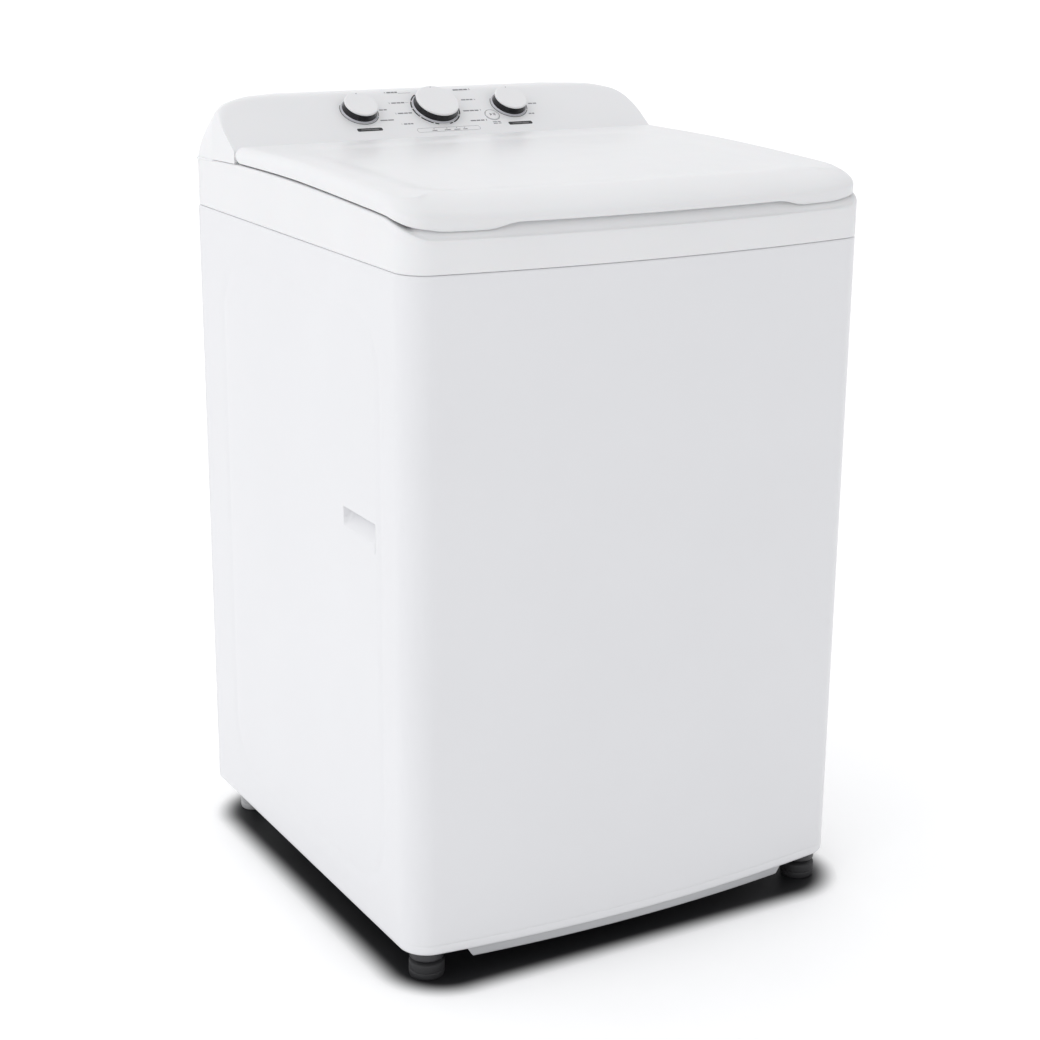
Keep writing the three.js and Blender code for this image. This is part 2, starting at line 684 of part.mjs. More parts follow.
function outerTub() {
  const r = TUB_RADIUS;
  const z = TUB_BOTTOM;
  const shell = turned([
    [31, z], [230, z], [270, z + 12], [r, z + 34], [r, TUB_TOP - 4], [r + 8, TUB_TOP - 4],
    [r + 8, TUB_TOP], [r - 4, TUB_TOP], [r - 4, z + 36], [267, z + 16], [229, z + 4], [31, z + 4],
  ]);
  const lugs = CORNERS.map(({ x, y }) => {
    const arm = block(r - 3, ROD_REACH, -20, 20, LUG_Z, LUG_Z + 12);
    const end = rod(20, LUG_Z, LUG_Z + 12).translate([ROD_REACH, 0, 0]);
    const rib = block(r - 2, ROD_REACH - 26, -3, 3, LUG_Z - 45, LUG_Z + 1);
    const eye = rod(7, LUG_Z - 5, LUG_Z + 20, 16).translate([ROD_REACH, 0, 0]);
    const angle = Math.atan2(y * ROD_Y, x * ROD_X);
    return cut(join(arm, end, rib), eye).rotate([0, 0, THREE.MathUtils.radToDeg(angle)]);
  });
  const spigot = rod(SUMP.radius + 3, z - 26, z + 2).translate([SUMP.x, SUMP.y, 0]);
  const drain = rod(SUMP.radius, z - 30, z + 10).translate([SUMP.x, SUMP.y, 0]);
  return join(shell, ...lugs, spigot).subtract(drain);
}

function tubCover() {
  const z = TUB_TOP + GAP;
  const rim = TUB_RADIUS + 9;
  return turned([
    [222, z + 8], [262, z], [rim, z], [rim, z + 4], [264, z + 4], [226, z + 12], [226, z + 20],
    [222, z + 20],
  ]);
}

const PLATE_Z = TUB_BOTTOM - GAP - 3.7;
const HOUSING_TOP = PLATE_Z - GAP;

function drivePlate() {
  const plate = prism(roundedRect(-110, 110, -110, 240, 24), PLATE_Z, PLATE_Z + 3.7);
  return plate.subtract(rod(40, PLATE_Z - 5, PLATE_Z + 10));
}

function gearcase() {
  const bore = BEARING + GAP;
  return turned([
    [bore, 150], [56, 150], [76, 162], [76, HOUSING_TOP - 10], [95, HOUSING_TOP - 10],
    [95, HOUSING_TOP], [bore, HOUSING_TOP],
  ]);
}

function motorBody() {
  const can = turned([[0, 150], [6.5, 150], [6.5, 128], [56, 128], [62, 134], [62, 210], [54, 216],
    [0, 216]], 32);
  return can.add(block(-78, 78, -18, 18, 212, HOUSING_TOP));
}

// A pulley with a groove for the belt.
function pulley(radius, bore) {
  const groove = radius - 8.5;
  return turned([
    [bore, 98], [radius, 98], [radius, 100.5], [groove, 100.5], [groove, 113.5], [radius, 113.5],
    [radius, 116], [bore, 116],
  ], radius > 40 ? 32 : 20);
}

// The belt runs round both pulleys and along their outer tangents.
function driveBelt() {
  const lean = Math.asin((DRIVE_PULLEY_RADIUS - MOTOR_PULLEY_RADIUS) / MOTOR_Y);
  const loop = (offset) => [
    ...arc(0, MOTOR_Y, MOTOR_PULLEY_RADIUS + offset, lean, Math.PI - lean, 8),
    ...arc(0, 0, DRIVE_PULLEY_RADIUS + offset, Math.PI - lean, 2 * Math.PI + lean, 20),
  ];
  return prism(loop(1), 101, 113).subtract(prism(loop(-7), 90, 120));
}

function drainPump() {
  const top = TUB_BOTTOM - 26 - GAP;
  const volute = turned([[0, 112], [38, 112], [42, 116], [42, 164], [36, 170], [17, 172],
    [17, top], [0, top]], 28);
  const outlet = rod(12, -PUMP_OUTLET.y + SUMP.y, 0, 16).rotate([90, 0, 0]);
  const bracket = block(36, 58, -20, 20, 158, HOUSING_TOP);
  const inlet = rod(SUMP.radius, 160, top + 5);
  return cut(join(volute, outlet.translate([0, 0, PUMP_OUTLET.z]), bracket), inlet)
    .translate([SUMP.x, SUMP.y, 0]);
}

const PORT_FRONT = 297;

function drainHose() {
  return swept([
    [SUMP.x, PUMP_OUTLET.y + GAP, PUMP_OUTLET.z],
    [SUMP.x, 120, PUMP_OUTLET.z],
    [SUMP.x - 20, 195, PUMP_OUTLET.z + 3],
    [DRAIN.x, 250, DRAIN.z],
    [DRAIN.x, PORT_FRONT - GAP, DRAIN.z],
  ], 14, 16, 8);
}

function drainPort() {
  const { x, z, radius } = DRAIN;
  const tube = pipe(14, radius, PORT_FRONT, BACK_Y, 24);
  const flange = pipe(16, 30, BACK_Y - 7, BACK_Y - SHEET - GAP, 24);
  return tube.add(flange).rotate([-90, 0, 0]).translate([x, 0, z]);
}

function cordGland() {
  const barrel = pipe(4, 8.5, BACK_Y - 22, BACK_Y, 16);
  const nut = pipe(6, 14, BACK_Y - 8, BACK_Y - SHEET - GAP, 6);
  return barrel.add(nut).rotate([-90, 0, 0]).translate([CORD.x, 0, CORD.z]);
}

function mainBearing() {
  return pipe(SPIN_TUBE + GAP, BEARING, 192, 210, 32);
}

piece('outer_tub', outerTub(), 0xd9dadc, 0.5);
piece('tub_cover', tubCover(), WHITE, 0.45);
piece('drive_plate', drivePlate(), STEEL, 0.4, 0.9);
piece('gearcase', gearcase(), 0x9da1a5, 0.5, 0.8);
piece('main_bearing', mainBearing(), 0xc9ccd0, 0.25, 1);
piece('motor', motorBody(), 0x3c4045, 0.5, 0.5).position.set(0, MOTOR_Y, 0);
piece('drive_belt', driveBelt(), BLACK, 0.8);
piece('drain_pump', drainPump(), 0xe2e2de, 0.5);
piece('drain_hose', drainHose(), GREY, 0.7);
piece('drain_port', drainPort(), BLACK, 0.6);
piece('cord_gland', cordGland(), BLACK, 0.6);

// ---------------------------------------------------------------- suspension

const BRACKET_TOP = ROD_TOP - GAP - 1.7;

function cornerBracket(x, y) {
  const reach = prism([vec(150, 341), vec(150, 400), vec(400, 400), vec(400, 150), vec(341, 150)],
    0, SEAM_Z);
  const corner = x * y > 0 ? reach : reach.mirror([0, 1, 0]);
  const zone = x > 0 ? corner : corner.rotate([0, 0, 180]);
  const inset = SHEET + GAP;
  const plate = prism(planPoints(inset, FRAME_BACK), BRACKET_TOP - 4, BRACKET_TOP);
  const flange = cut(
    prism(planPoints(inset, FRAME_BACK), BRACKET_TOP - 28, BRACKET_TOP),
    prism(planPoints(inset + 2, FRAME_BACK - 2), 0, SEAM_Z),
  );
  const eye = rod(7, 0, SEAM_Z, 16).translate([x * ROD_X, y * ROD_Y, 0]);
  return plate.add(flange).intersect(zone).subtract(eye);
}

const CUP_TOP = LUG_Z - SPRING_LENGTH;

function suspensionRod() {
  return turned([
    [0, CUP_TOP - 16], [4.5, CUP_TOP - 16], [4.5, CUP_TOP - 8], [24, CUP_TOP - 8],
    [24, CUP_TOP - GAP], [4.5, CUP_TOP - GAP], [4.5, BRACKET_TOP + GAP], [11, BRACKET_TOP + GAP],
    [11, BRACKET_TOP + 8], [6, BRACKET_TOP + 13], [0, BRACKET_TOP + 13],
  ], 10);
}

for (const { name, x, y } of CORNERS) {
  piece(`corner_bracket_${name}`, cornerBracket(x, y), ZINC, 0.4, 0.8);
  piece(`suspension_rod_${name}`, suspensionRod(), ZINC, 0.35, 0.9)
    .position.set(x * ROD_X, y * ROD_Y, 0);
  piece(`suspension_spring_${name}`, pipe(12, 20, CUP_TOP, LUG_Z - GAP, 12), STEEL, 0.35, 0.9)
    .position.set(x * ROD_X, y * ROD_Y, 0);
}

// ---------------------------------------------------------------- basket

const BASKET_TOP = BASKET_BOTTOM + BASKET_HEIGHT;
const HUB_TOP = BASKET_BOTTOM + 11.7;

function basketShell() {
  const r = BASKET_RADIUS;
  const z = HUB_TOP + GAP;
  return turned([
    [40, z], [200, z], [245, z + 10], [r, z + 30], [r, BASKET_TOP], [r - 2, BASKET_TOP],
    [r - 2, z + 31], [244, z + 12], [199, z + 2], [40, z + 2],
  ]);
}

function balanceRing() {
  const outer = BASKET_RADIUS - 2 - GAP;
  return turned([
    [228, BASKET_TOP - 44], [outer, BASKET_TOP - 44], [outer, BASKET_TOP + GAP],
    [BASKET_RADIUS, BASKET_TOP + GAP], [BASKET_RADIUS, BASKET_TOP + 6], [232, BASKET_TOP + 6],
    [228, BASKET_TOP + 2],
  ]);
}

function basketHub() {
  const bore = SPIN_TUBE + GAP;
  return turned([
    [bore, BASKET_BOTTOM - 14], [34, BASKET_BOTTOM - 14], [42, BASKET_BOTTOM - 4],
    [150, BASKET_BOTTOM], [190, HUB_TOP - 5], [190, HUB_TOP], [bore, HUB_TOP],
  ]);
}

piece('basket_shell', basketShell(), 0xc3c6c9, 0.3, 1);
piece('balance_ring', balanceRing(), WHITE, 0.4);
piece('basket_hub', basketHub(), 0xa9adb1, 0.5, 0.9);
piece('spin_tube', pipe(SHAFT + 1.5, SPIN_TUBE, 140, HUB_TOP + 8, 24), STEEL, 0.3, 1);

// ---------------------------------------------------------------- agitator and drive

const AGITATOR_FOOT = 288;
const COLUMN_FOOT = 392;
const COLUMN_TOP = 700;
const CUP_REACH = 62;

function agitatorBase() {
  const bore = SHAFT + GAP;
  const z = AGITATOR_FOOT;
  const skirt = turned([
    [bore, z + 2], [22, z + 2], [22, z + 58], [56, z + 78], [90, z + 38], [158, z], [163, z],
    [163, z + 4], [94, z + 42], [64, z + 84], [60, COLUMN_FOOT], [56.5, COLUMN_FOOT],
    [56.5, z + 84], [bore, z + 62],
  ], 28);
  const vane = prismX([vec(62, z + 84), vec(92, z + 40), vec(152, z + 12), vec(157, z + 22),
    vec(128, z + 60), vec(84, z + 84), vec(64, z + 96)].reverse(), -4, 4);
  return join(skirt, ...[0, 90, 180, 270].map((turn) => vane.rotate([0, 0, turn])));
}

// Hollow column with two helical fins, a plan section that turns as it rises.
function agitatorAuger() {
  const foot = COLUMN_FOOT + GAP;
  const steps = 26;
  const turns = 1.75;
  const half = THREE.MathUtils.degToRad(6);
  const lobe = [[-half, 0], [-half, 1], [half, 1], [half, 0], [Math.PI / 4, 0],
    [Math.PI / 2, 0], [(3 * Math.PI) / 4, 0]];
  const section = [...lobe, ...lobe.map(([angle, fin]) => [angle + Math.PI, fin])];
  const sections = [];
  for (let i = 0; i <= steps; i++) {
    const rise = i / steps;
    const turn = turns * 2 * Math.PI * rise;
    const wall = 59 - 6 * rise;
    const tip = i < 2 || i > steps - 2 ? 5 : 34 - 4 * rise;
    const z = foot + (COLUMN_TOP - foot) * rise;
    sections.push(section.map(([angle, fin]) => {
      const radius = wall + fin * tip;
      return [radius * Math.cos(turn + angle), radius * Math.sin(turn + angle), z];
    }));
  }
  const bore = turned([[0, foot - 1], [44, foot - 1], [38, COLUMN_TOP + 1], [0, COLUMN_TOP + 1]], 20);
  return loft(sections.reverse(), 0, 1).subtract(bore);
}

// Rinse aid cup that lifts off the top of the agitator.
function softenerCup() {
  const z = COLUMN_TOP + GAP;
  return turned([
    [0, z - 30], [35, z - 30], [37, z], [52, z], [55, z + CUP_REACH], [30, z + CUP_REACH + 6],
    [30, z + CUP_REACH + 3], [52, z + CUP_REACH - 3], [50, z + 3], [34, z + 3], [32, z - 27],
    [0, z - 27],
  ], 24);
}

piece('agitator_base', agitatorBase(), WHITE, 0.45);
piece('agitator_auger', agitatorAuger(), WHITE, 0.45);
piece('agitator_shaft', rod(SHAFT, 94, AGITATOR_FOOT + 60, 20), STEEL, 0.3, 1);
piece('softener_cup', softenerCup(), 0xdfe3ea, 0.4);
piece('drive_pulley', pulley(DRIVE_PULLEY_RADIUS, SHAFT + GAP), 0x9da1a5, 0.45, 0.9);
const motorRotor = pulley(MOTOR_PULLEY_RADIUS, 5).add(rod(6, 94, 148, 20));
piece('motor_pulley', motorRotor, STEEL, 0.35, 1).position.set(0, MOTOR_Y, 0);

export default machine;
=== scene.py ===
import math

import bmesh
import bpy
import numpy as np
from mathutils import Matrix, Vector


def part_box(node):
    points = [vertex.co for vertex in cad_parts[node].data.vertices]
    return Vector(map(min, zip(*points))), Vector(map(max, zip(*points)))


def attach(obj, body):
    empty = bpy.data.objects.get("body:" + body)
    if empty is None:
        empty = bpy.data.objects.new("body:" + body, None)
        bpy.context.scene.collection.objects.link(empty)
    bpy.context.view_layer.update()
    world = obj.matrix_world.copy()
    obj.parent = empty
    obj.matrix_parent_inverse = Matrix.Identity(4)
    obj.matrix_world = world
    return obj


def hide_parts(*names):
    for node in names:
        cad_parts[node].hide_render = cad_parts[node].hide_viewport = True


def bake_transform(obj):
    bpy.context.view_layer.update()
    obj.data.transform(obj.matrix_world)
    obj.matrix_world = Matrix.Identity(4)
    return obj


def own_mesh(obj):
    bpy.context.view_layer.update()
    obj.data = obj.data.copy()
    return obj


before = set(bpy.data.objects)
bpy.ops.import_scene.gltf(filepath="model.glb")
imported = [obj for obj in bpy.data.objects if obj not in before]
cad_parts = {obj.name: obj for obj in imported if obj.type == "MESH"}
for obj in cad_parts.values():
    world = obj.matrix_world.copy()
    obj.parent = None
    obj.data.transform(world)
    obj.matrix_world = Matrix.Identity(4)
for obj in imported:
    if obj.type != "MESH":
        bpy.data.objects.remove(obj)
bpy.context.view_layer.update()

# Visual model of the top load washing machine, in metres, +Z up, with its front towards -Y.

# ---------------------------------------------------------------- places taken from the frame

MM = 0.001
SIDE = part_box("cabinet_wrap")[1].x
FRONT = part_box("cabinet_wrap")[0].y
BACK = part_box("rear_panel")[1].y
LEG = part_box("cabinet_wrap")[0].z
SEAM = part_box("cabinet_wrap")[1].z
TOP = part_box("console_housing")[1].z
GAP = 0.3 * MM
SHEET = 1.6 * MM
PIN_RADIUS = 4.6 * MM
EAR_X = 304 * MM
BARREL_X = 292.5 * MM
PUMP_AXIS = (-160 * MM, -40 * MM)
SIDES = ((-1, "left"), (1, "right"))
CORNERS = ("front_left", "front_right", "rear_left", "rear_right")

BOW = 26.4 * MM
CORNER = 41 * MM
BOW_RADIUS = (SIDE ** 2 + BOW ** 2) / (2 * BOW)
STRAIGHT = 1000.0  # bow radius of an edge that is straight

HINGE_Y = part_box("lid_hinge_pin_left")[0].y + PIN_RADIUS
HINGE_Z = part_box("lid_hinge_pin_left")[0].z + PIN_RADIUS
LID_TRAVEL = 11 * MM

TILT = math.radians(34)
FACE_FOOT = Vector((0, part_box("console_housing")[0].y + 1 * MM, SEAM + 92 * MM))

# ---------------------------------------------------------------- shape helpers


def mm(points):
    """Millimetre points in metres."""
    return [tuple(MM * value for value in point) for point in points]


def centre(node):
    """Middle of a node's box."""
    low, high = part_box(node)
    return [(a + b) / 2 for a, b in zip(low, high)]


def smooth_curve(points):
    """A smooth function through (place, value) points."""
    xs = np.array([p[0] for p in points], float)
    ys = np.array([p[1] for p in points], float)
    slopes = np.gradient(ys, xs)

    def value(x):
        x = np.clip(x, xs[0], xs[-1])
        i = np.clip(np.searchsorted(xs, x) - 1, 0, len(xs) - 2)
        h = xs[i + 1] - xs[i]
        t = (x - xs[i]) / h
        low = (1 + 2 * t) * ys[i] + slopes[i] * h * t
        high = (3 - 2 * t) * ys[i + 1] - slopes[i + 1] * h * (1 - t)
        return low * (1 - t) ** 2 + high * t ** 2

    return value


def step(x, low, high):
    """0 below low, 1 above high, and smooth between them."""
    t = np.clip((x - low) / (high - low), 0, 1)
    return t * t * (3 - 2 * t)


def soft_min(a, b, reach):
    """The smaller of two heights, rounded where they are within reach of each other."""
    near = np.maximum(reach - np.abs(a - b), 0) / reach
    return np.minimum(a, b) - near * near * reach / 4


def quarter(distance, width, height):
    """Drop of a quarter ellipse: height at the edge, and nothing at width from it."""
    share = 1 - np.clip(distance / np.maximum(width, 1e-6), 0, 1)
    return height * (1 - np.sqrt(np.maximum(1 - share ** 2, 0)))


def past_core(x, y, box, radius):
    """Distance past the core of a rounded box (x0, x1, y0, y1): it equals the radius on the box's outline."""
    x0, x1, y0, y1 = box
    dx = np.abs(x - (x0 + x1) / 2) - (x1 - x0) / 2 + radius
    dy = np.abs(y - (y0 + y1) / 2) - (y1 - y0) / 2 + radius
    return np.hypot(np.maximum(dx, 0), np.maximum(dy, 0)) + np.minimum(np.maximum(dx, dy), 0)


def stations(start, stop, coarse, fine=None, spots=(), reach=0.0):
    """Places from start to stop, closer together near the spots."""
    places = [start]
    while places[-1] < stop - 1e-9:
        near = any(abs(places[-1] - spot) < reach for spot in spots)
        places.append(min(places[-1] + (fine if near else coarse), stop))
    if places[-1] - places[-2] < 0.3 * (fine or coarse):
        places.pop(-2)
    return np.array(places)


def arc(centre, radius, start, stop, count):
    """Points on an arc, as an array of (x, y)."""
    angles = np.linspace(start, stop, count)
    return np.array(centre) + radius * np.column_stack([np.cos(angles), np.sin(angles)])


def fillet(points, radius, steps=4, closed=False):
    """A polyline with its corners rounded. Radius is one number, or one for each point."""
    points = [np.array(p, float) for p in points]
    radii = [radius] * len(points) if np.isscalar(radius) else radius
    out = []
    for i, point in enumerate(points):
        inner = closed or 0 < i < len(points) - 1
        if not inner or radii[i] <= 0:
            out.append(point)
            continue
        before = points[i - 1] - point
        after = points[(i + 1) % len(points)] - point
        reach = min(radii[i], 0.49 * np.linalg.norm(before), 0.49 * np.linalg.norm(after))
        start = point + before / np.linalg.norm(before) * reach
        stop = point + after / np.linalg.norm(after) * reach
        for t in np.linspace(0, 1, steps + 1):
            out.append((1 - t) ** 2 * start + 2 * t * (1 - t) * point + t * t * stop)
    return out


def loop(half, front, back, corner, rear=4 * MM, bow=BOW_RADIUS, inset=0.0, counts=(30, 10, 40, 3)):
    """Plan outline that runs down the left side, along the front and up the right side to the rear.
    Inset moves it inwards. Every loop with the same counts has matching points."""
    sides, corners, fronts, rears = counts
    half, front, back, bow = half - inset, front + inset, back - inset, bow - inset
    corner, rear = max(corner - inset, 2 * MM), max(rear - inset, 1 * MM)
    middle = front + bow
    cx = half - corner
    cy = middle - math.sqrt((bow - corner) ** 2 - cx ** 2)
    lean = math.asin(cx / (bow - corner))
    down = 1.5 * math.pi
    side = np.linspace(back - rear, cy, sides)
    left = np.column_stack([np.full(sides, -half), side])
    right = np.column_stack([np.full(sides, half), side[::-1]])
    parts = [
        left[:-1],
        arc((-cx, cy), corner, math.pi, down - lean, corners)[:-1],
        arc((0, middle), bow, down - lean, down + lean, fronts)[:-1],
        arc((cx, cy), corner, down + lean, 2 * math.pi, corners)[:-1],
        right[:-1],
        arc((half - rear, back - rear), rear, 0, math.pi / 2, rears)[:-1],
        np.column_stack([np.linspace(half - rear, rear - half, sides), np.full(sides, back)])[:-1],
        arc((rear - half, back - rear), rear, math.pi / 2, math.pi, rears)[:-1],
    ]
    return np.vstack(parts)

# ---------------------------------------------------------------- mesh helpers


def grid_faces(rows, columns, ring=False, flip=False):
    """Quads between rows of points. A ring joins its last column to its first."""
    faces = []
    for r in range(rows - 1):
        for c in range(columns if ring else columns - 1):
            n = (c + 1) % columns
            quad = (r * columns + c, r * columns + n, (r + 1) * columns + n, (r + 1) * columns + c)
            faces.append(quad[::-1] if flip else quad)
    return faces


def mesh_object(name, points, faces, material, sharp=35, tidy=True):
    """A shaded mesh object. Tidy merges points that coincide and turns the faces outwards."""
    mesh = bpy.data.meshes.new(name)
    mesh.from_pydata([tuple(map(float, p)) for p in points], [], faces)
    if tidy:
        bm = bmesh.new()
        bm.from_mesh(mesh)
        bmesh.ops.remove_doubles(bm, verts=bm.verts, dist=1e-6)
        bmesh.ops.dissolve_degenerate(bm, edges=bm.edges, dist=1e-7)
        bmesh.ops.recalc_face_normals(bm, faces=bm.faces)
        bm.to_mesh(mesh)
        bm.free()
    mesh.materials.append(material)
    mesh.shade_smooth()
    mesh.set_sharp_from_angle(angle=math.radians(sharp))
    piece = bpy.data.objects.new(name, mesh)
    bpy.context.scene.collection.objects.link(piece)
    return piece


def give(piece, body, replaces=()):
    """Puts a finished piece on its body and hides the CAD nodes that it stands for."""
    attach(piece, body)
    if replaces:
        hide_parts(*replaces)
    return piece


def modifier(piece, kind, **settings):
    made = piece.modifiers.new(kind.lower(), kind)
    for key, value in settings.items():
        setattr(made, key, value)
    return made


def bevel(piece, width, segments=2, angle=30):
    modifier(piece, "BEVEL", width=width, segments=segments, limit_method="ANGLE",
             angle_limit=math.radians(angle), harden_normals=False)
    return piece


def solidify(piece, thickness, offset=-1):
    modifier(piece, "SOLIDIFY", thickness=thickness, offset=offset)
    return piece


def carve(piece, *cutters):
    """Cuts the cutters out of the piece, and removes them."""
    for cutter in cutters:
        modifier(piece, "BOOLEAN", operation="DIFFERENCE", solver="EXACT", object=cutter)
    bake(piece)
    for cutter in cutters:
        bpy.data.objects.remove(cutter)
    return piece


def bake(piece, sharp=35):
    """Applies every modifier."""
    bpy.context.view_layer.update()
    shown = piece.evaluated_get(bpy.context.evaluated_depsgraph_get())
    mesh = bpy.data.meshes.new_from_object(shown)
    piece.modifiers.clear()
    piece.data = mesh
    mesh.shade_smooth()
    mesh.set_sharp_from_angle(angle=math.radians(sharp))
    return piece


def at_height(plan, z):
    """Plan points lifted to a height, or to one height for each point."""
    return np.column_stack([plan, np.broadcast_to(z, len(plan))])


def stacked(rings, close=False):
    """Points and faces of closed rings stacked on each other; close joins the last to the first."""
    rings = [np.asarray(ring, float) for ring in rings]
    count = len(rings[0])
    points = np.vstack(rings)
    faces = grid_faces(len(rings), count, ring=True)
    if close:
        top = (len(rings) - 1) * count
        for c in range(count):
            n = (c + 1) % count
            faces.append((top + c, top + n, n, c))
    return points, faces


def turned(name, profile, material, segments=48, axis=(0, 0), closed=False, sharp=35):
    """A body turned about an upright axis. The profile's points are (radius, z)."""
    angles = np.linspace(0, 2 * math.pi, segments, endpoint=False)
    ring = np.column_stack([np.cos(angles), np.sin(angles)])
    rings = [np.column_stack([ring * r + np.array(axis), np.full(segments, z)]) for r, z in profile]
    points, faces = stacked(rings, close=closed)
    return mesh_object(name, points, faces, material, sharp=sharp)


def turned_form(name, profile, rounding, material, segments=48, axis=(0, 0)):
    """A turned body from an open profile in millimetres, with its corners rounded."""
    return turned(name, mm(fillet(profile, rounding)), material, segments, axis=axis)


def turned_ring(name, section, rounding, material, segments=48, axis=(0, 0), steps=4):
    """A turned ring from a closed section in millimetres, with its corners rounded."""
    profile = mm(fillet(section, rounding, steps=steps, closed=True))
    return turned(name, profile, material, segments, axis=axis, closed=True)


def prism(name, outline, low, high, material, sharp=35):
    """An upright prism of an (x, y) outline."""
    count = len(outline)
    points = [(x, y, low) for x, y in outline] + [(x, y, high) for x, y in outline]
    faces = [tuple(range(count)), tuple(range(count, 2 * count))]
    for c in range(count):
        n = (c + 1) % count
        faces.append((c, n, count + n, count + c))
    return mesh_object(name, points, faces, material, sharp=sharp)


def plate(name, outline, half, material, sharp=35):
    """A plate that stands on edge. The outline's points are (x, z), and half is half its thickness."""
    standing = Matrix(((1, 0, 0, 0), (0, 0, -1, 0), (0, 1, 0, 0), (0, 0, 0, 1)))
    return place(prism(name, outline, -half, half, material, sharp), standing)


def block(name, low, high, material):
    corners = [(low[0], low[1]), (high[0], low[1]), (high[0], high[1]), (low[0], high[1])]
    return prism(name, corners, low[2], high[2], material)


def rounded_box(x0, x1, y0, y1, radius, steps=6):
    corners = [(x0, y0), (x1, y0), (x1, y1), (x0, y1)]
    return fillet(corners, radius, steps=steps, closed=True)


def sweep(name, path, radius, material, sides=12):
    """A round tube along a path. Radius is a number, or one for each point of the path."""
    path = np.asarray(path, float)
    radii = np.full(len(path), radius) if np.isscalar(radius) else radius
    tangents = np.gradient(path, axis=0)
    tangents /= np.linalg.norm(tangents, axis=1)[:, None]
    normal = np.cross(tangents[0], (0, 0, 1) if abs(tangents[0][2]) < 0.9 else (1, 0, 0))
    angles = np.linspace(0, 2 * math.pi, sides, endpoint=False)
    rings = []
    for point, tangent, r in zip(path, tangents, radii):
        normal = normal - np.dot(normal, tangent) * tangent
        normal /= np.linalg.norm(normal)
        across = np.cross(tangent, normal)
        rings.append(point + r * (np.cos(angles)[:, None] * normal + np.sin(angles)[:, None] * across))
    points, faces = stacked(rings)
    faces += [tuple(range(sides)), tuple(range(len(points) - sides, len(points)))]
    return mesh_object(name, points, faces, material, sharp=50)


def place(piece, matrix):
    piece.data.transform(matrix)
    return piece


def aimed(piece, at, towards):
    """Puts a piece turned about the upright axis at a point, with its axis turned towards a direction."""
    turn = Vector(towards).to_track_quat("Z", "Y").to_matrix().to_4x4()
    return place(piece, Matrix.Translation(Vector(at)) @ turn)


def merged(name, pieces):
    """Joins mesh objects into one, keeping their materials."""
    bm = bmesh.new()
    materials = []
    for piece in pieces:
        for m in piece.data.materials:
            if m not in materials:
                materials.append(m)
    for piece in pieces:
        start = len(bm.faces)
        bm.from_mesh(piece.data)
        bm.faces.ensure_lookup_table()
        shift = [materials.index(m) for m in piece.data.materials]
        for face in bm.faces[start:]:
            face.material_index = shift[face.material_index]
    mesh = bpy.data.meshes.new(name)
    bm.to_mesh(mesh)
    bm.free()
    for m in materials:
        mesh.materials.append(m)
    for piece in pieces:
        bpy.data.objects.remove(piece)
    made = bpy.data.objects.new(name, mesh)
    bpy.context.scene.collection.objects.link(made)
    return made


def around(name, piece, count, start=0.0):
    """Copies of a piece turned evenly about the upright axis, joined into one."""
    copies = []
    for i in range(count):
        copy = piece.copy()
        copy.data = piece.data.copy()
        bpy.context.scene.collection.objects.link(copy)
        copies.append(place(copy, Matrix.Rotation(start + 2 * math.pi * i / count, 4, "Z")))
    bpy.data.objects.remove(piece)
    return merged(name, copies)

# ---------------------------------------------------------------- materials


def socket(shader, name, value):
    shader.inputs[name].default_value = value


def make_material(name, color, roughness, metallic=0.0, coat=0.0, coat_roughness=0.1, specular=0.5,
                  tone=0.03, tone_scale=6.0, rough_spread=0.06, grain=900.0, bump=0.02,
                  stretch=(1, 1, 1), subsurface=0.0):
    """Procedural finish: slow drift in tone and roughness, and a fine surface grain."""
    material = bpy.data.materials.new(name)
    material.use_nodes = True
    nodes, links = material.node_tree.nodes, material.node_tree.links
    shader = nodes["Principled BSDF"]
    socket(shader, "Metallic", metallic)
    socket(shader, "Coat Weight", coat)
    socket(shader, "Coat Roughness", coat_roughness)
    socket(shader, "Specular IOR Level", specular)
    socket(shader, "Subsurface Weight", subsurface)
    socket(shader, "Subsurface Scale", 0.003)
    where = nodes.new("ShaderNodeTexCoord")
    mapping = nodes.new("ShaderNodeMapping")
    mapping.inputs["Scale"].default_value = stretch
    links.new(where.outputs["Object"], mapping.inputs["Vector"])

    def noise(scale, detail):
        node = nodes.new("ShaderNodeTexNoise")
        node.inputs["Scale"].default_value = scale
        node.inputs["Detail"].default_value = detail
        links.new(mapping.outputs["Vector"], node.inputs["Vector"])
        return node

    drift = noise(tone_scale, 3)
    ramp = nodes.new("ShaderNodeValToRGB")
    low = [c * (1 - tone) for c in color]
    high = [min(c * (1 + tone), 1) for c in color]
    ramp.color_ramp.elements[0].position = 0.3
    ramp.color_ramp.elements[0].color = (*low, 1)
    ramp.color_ramp.elements[1].position = 0.7
    ramp.color_ramp.elements[1].color = (*high, 1)
    links.new(drift.outputs["Fac"], ramp.inputs["Fac"])
    links.new(ramp.outputs["Color"], shader.inputs["Base Color"])

    wear = noise(tone_scale * 5, 4)
    spread = nodes.new("ShaderNodeMapRange")
    spread.inputs["To Min"].default_value = max(roughness - rough_spread, 0.02)
    spread.inputs["To Max"].default_value = roughness + rough_spread
    links.new(wear.outputs["Fac"], spread.inputs["Value"])
    links.new(spread.outputs["Result"], shader.inputs["Roughness"])

    surface = noise(grain, 2)
    relief = nodes.new("ShaderNodeBump")
    relief.inputs["Strength"].default_value = bump
    relief.inputs["Distance"].default_value = 0.5 * MM
    links.new(surface.outputs["Fac"], relief.inputs["Height"])
    links.new(relief.outputs["Normal"], shader.inputs["Normal"])
    return material


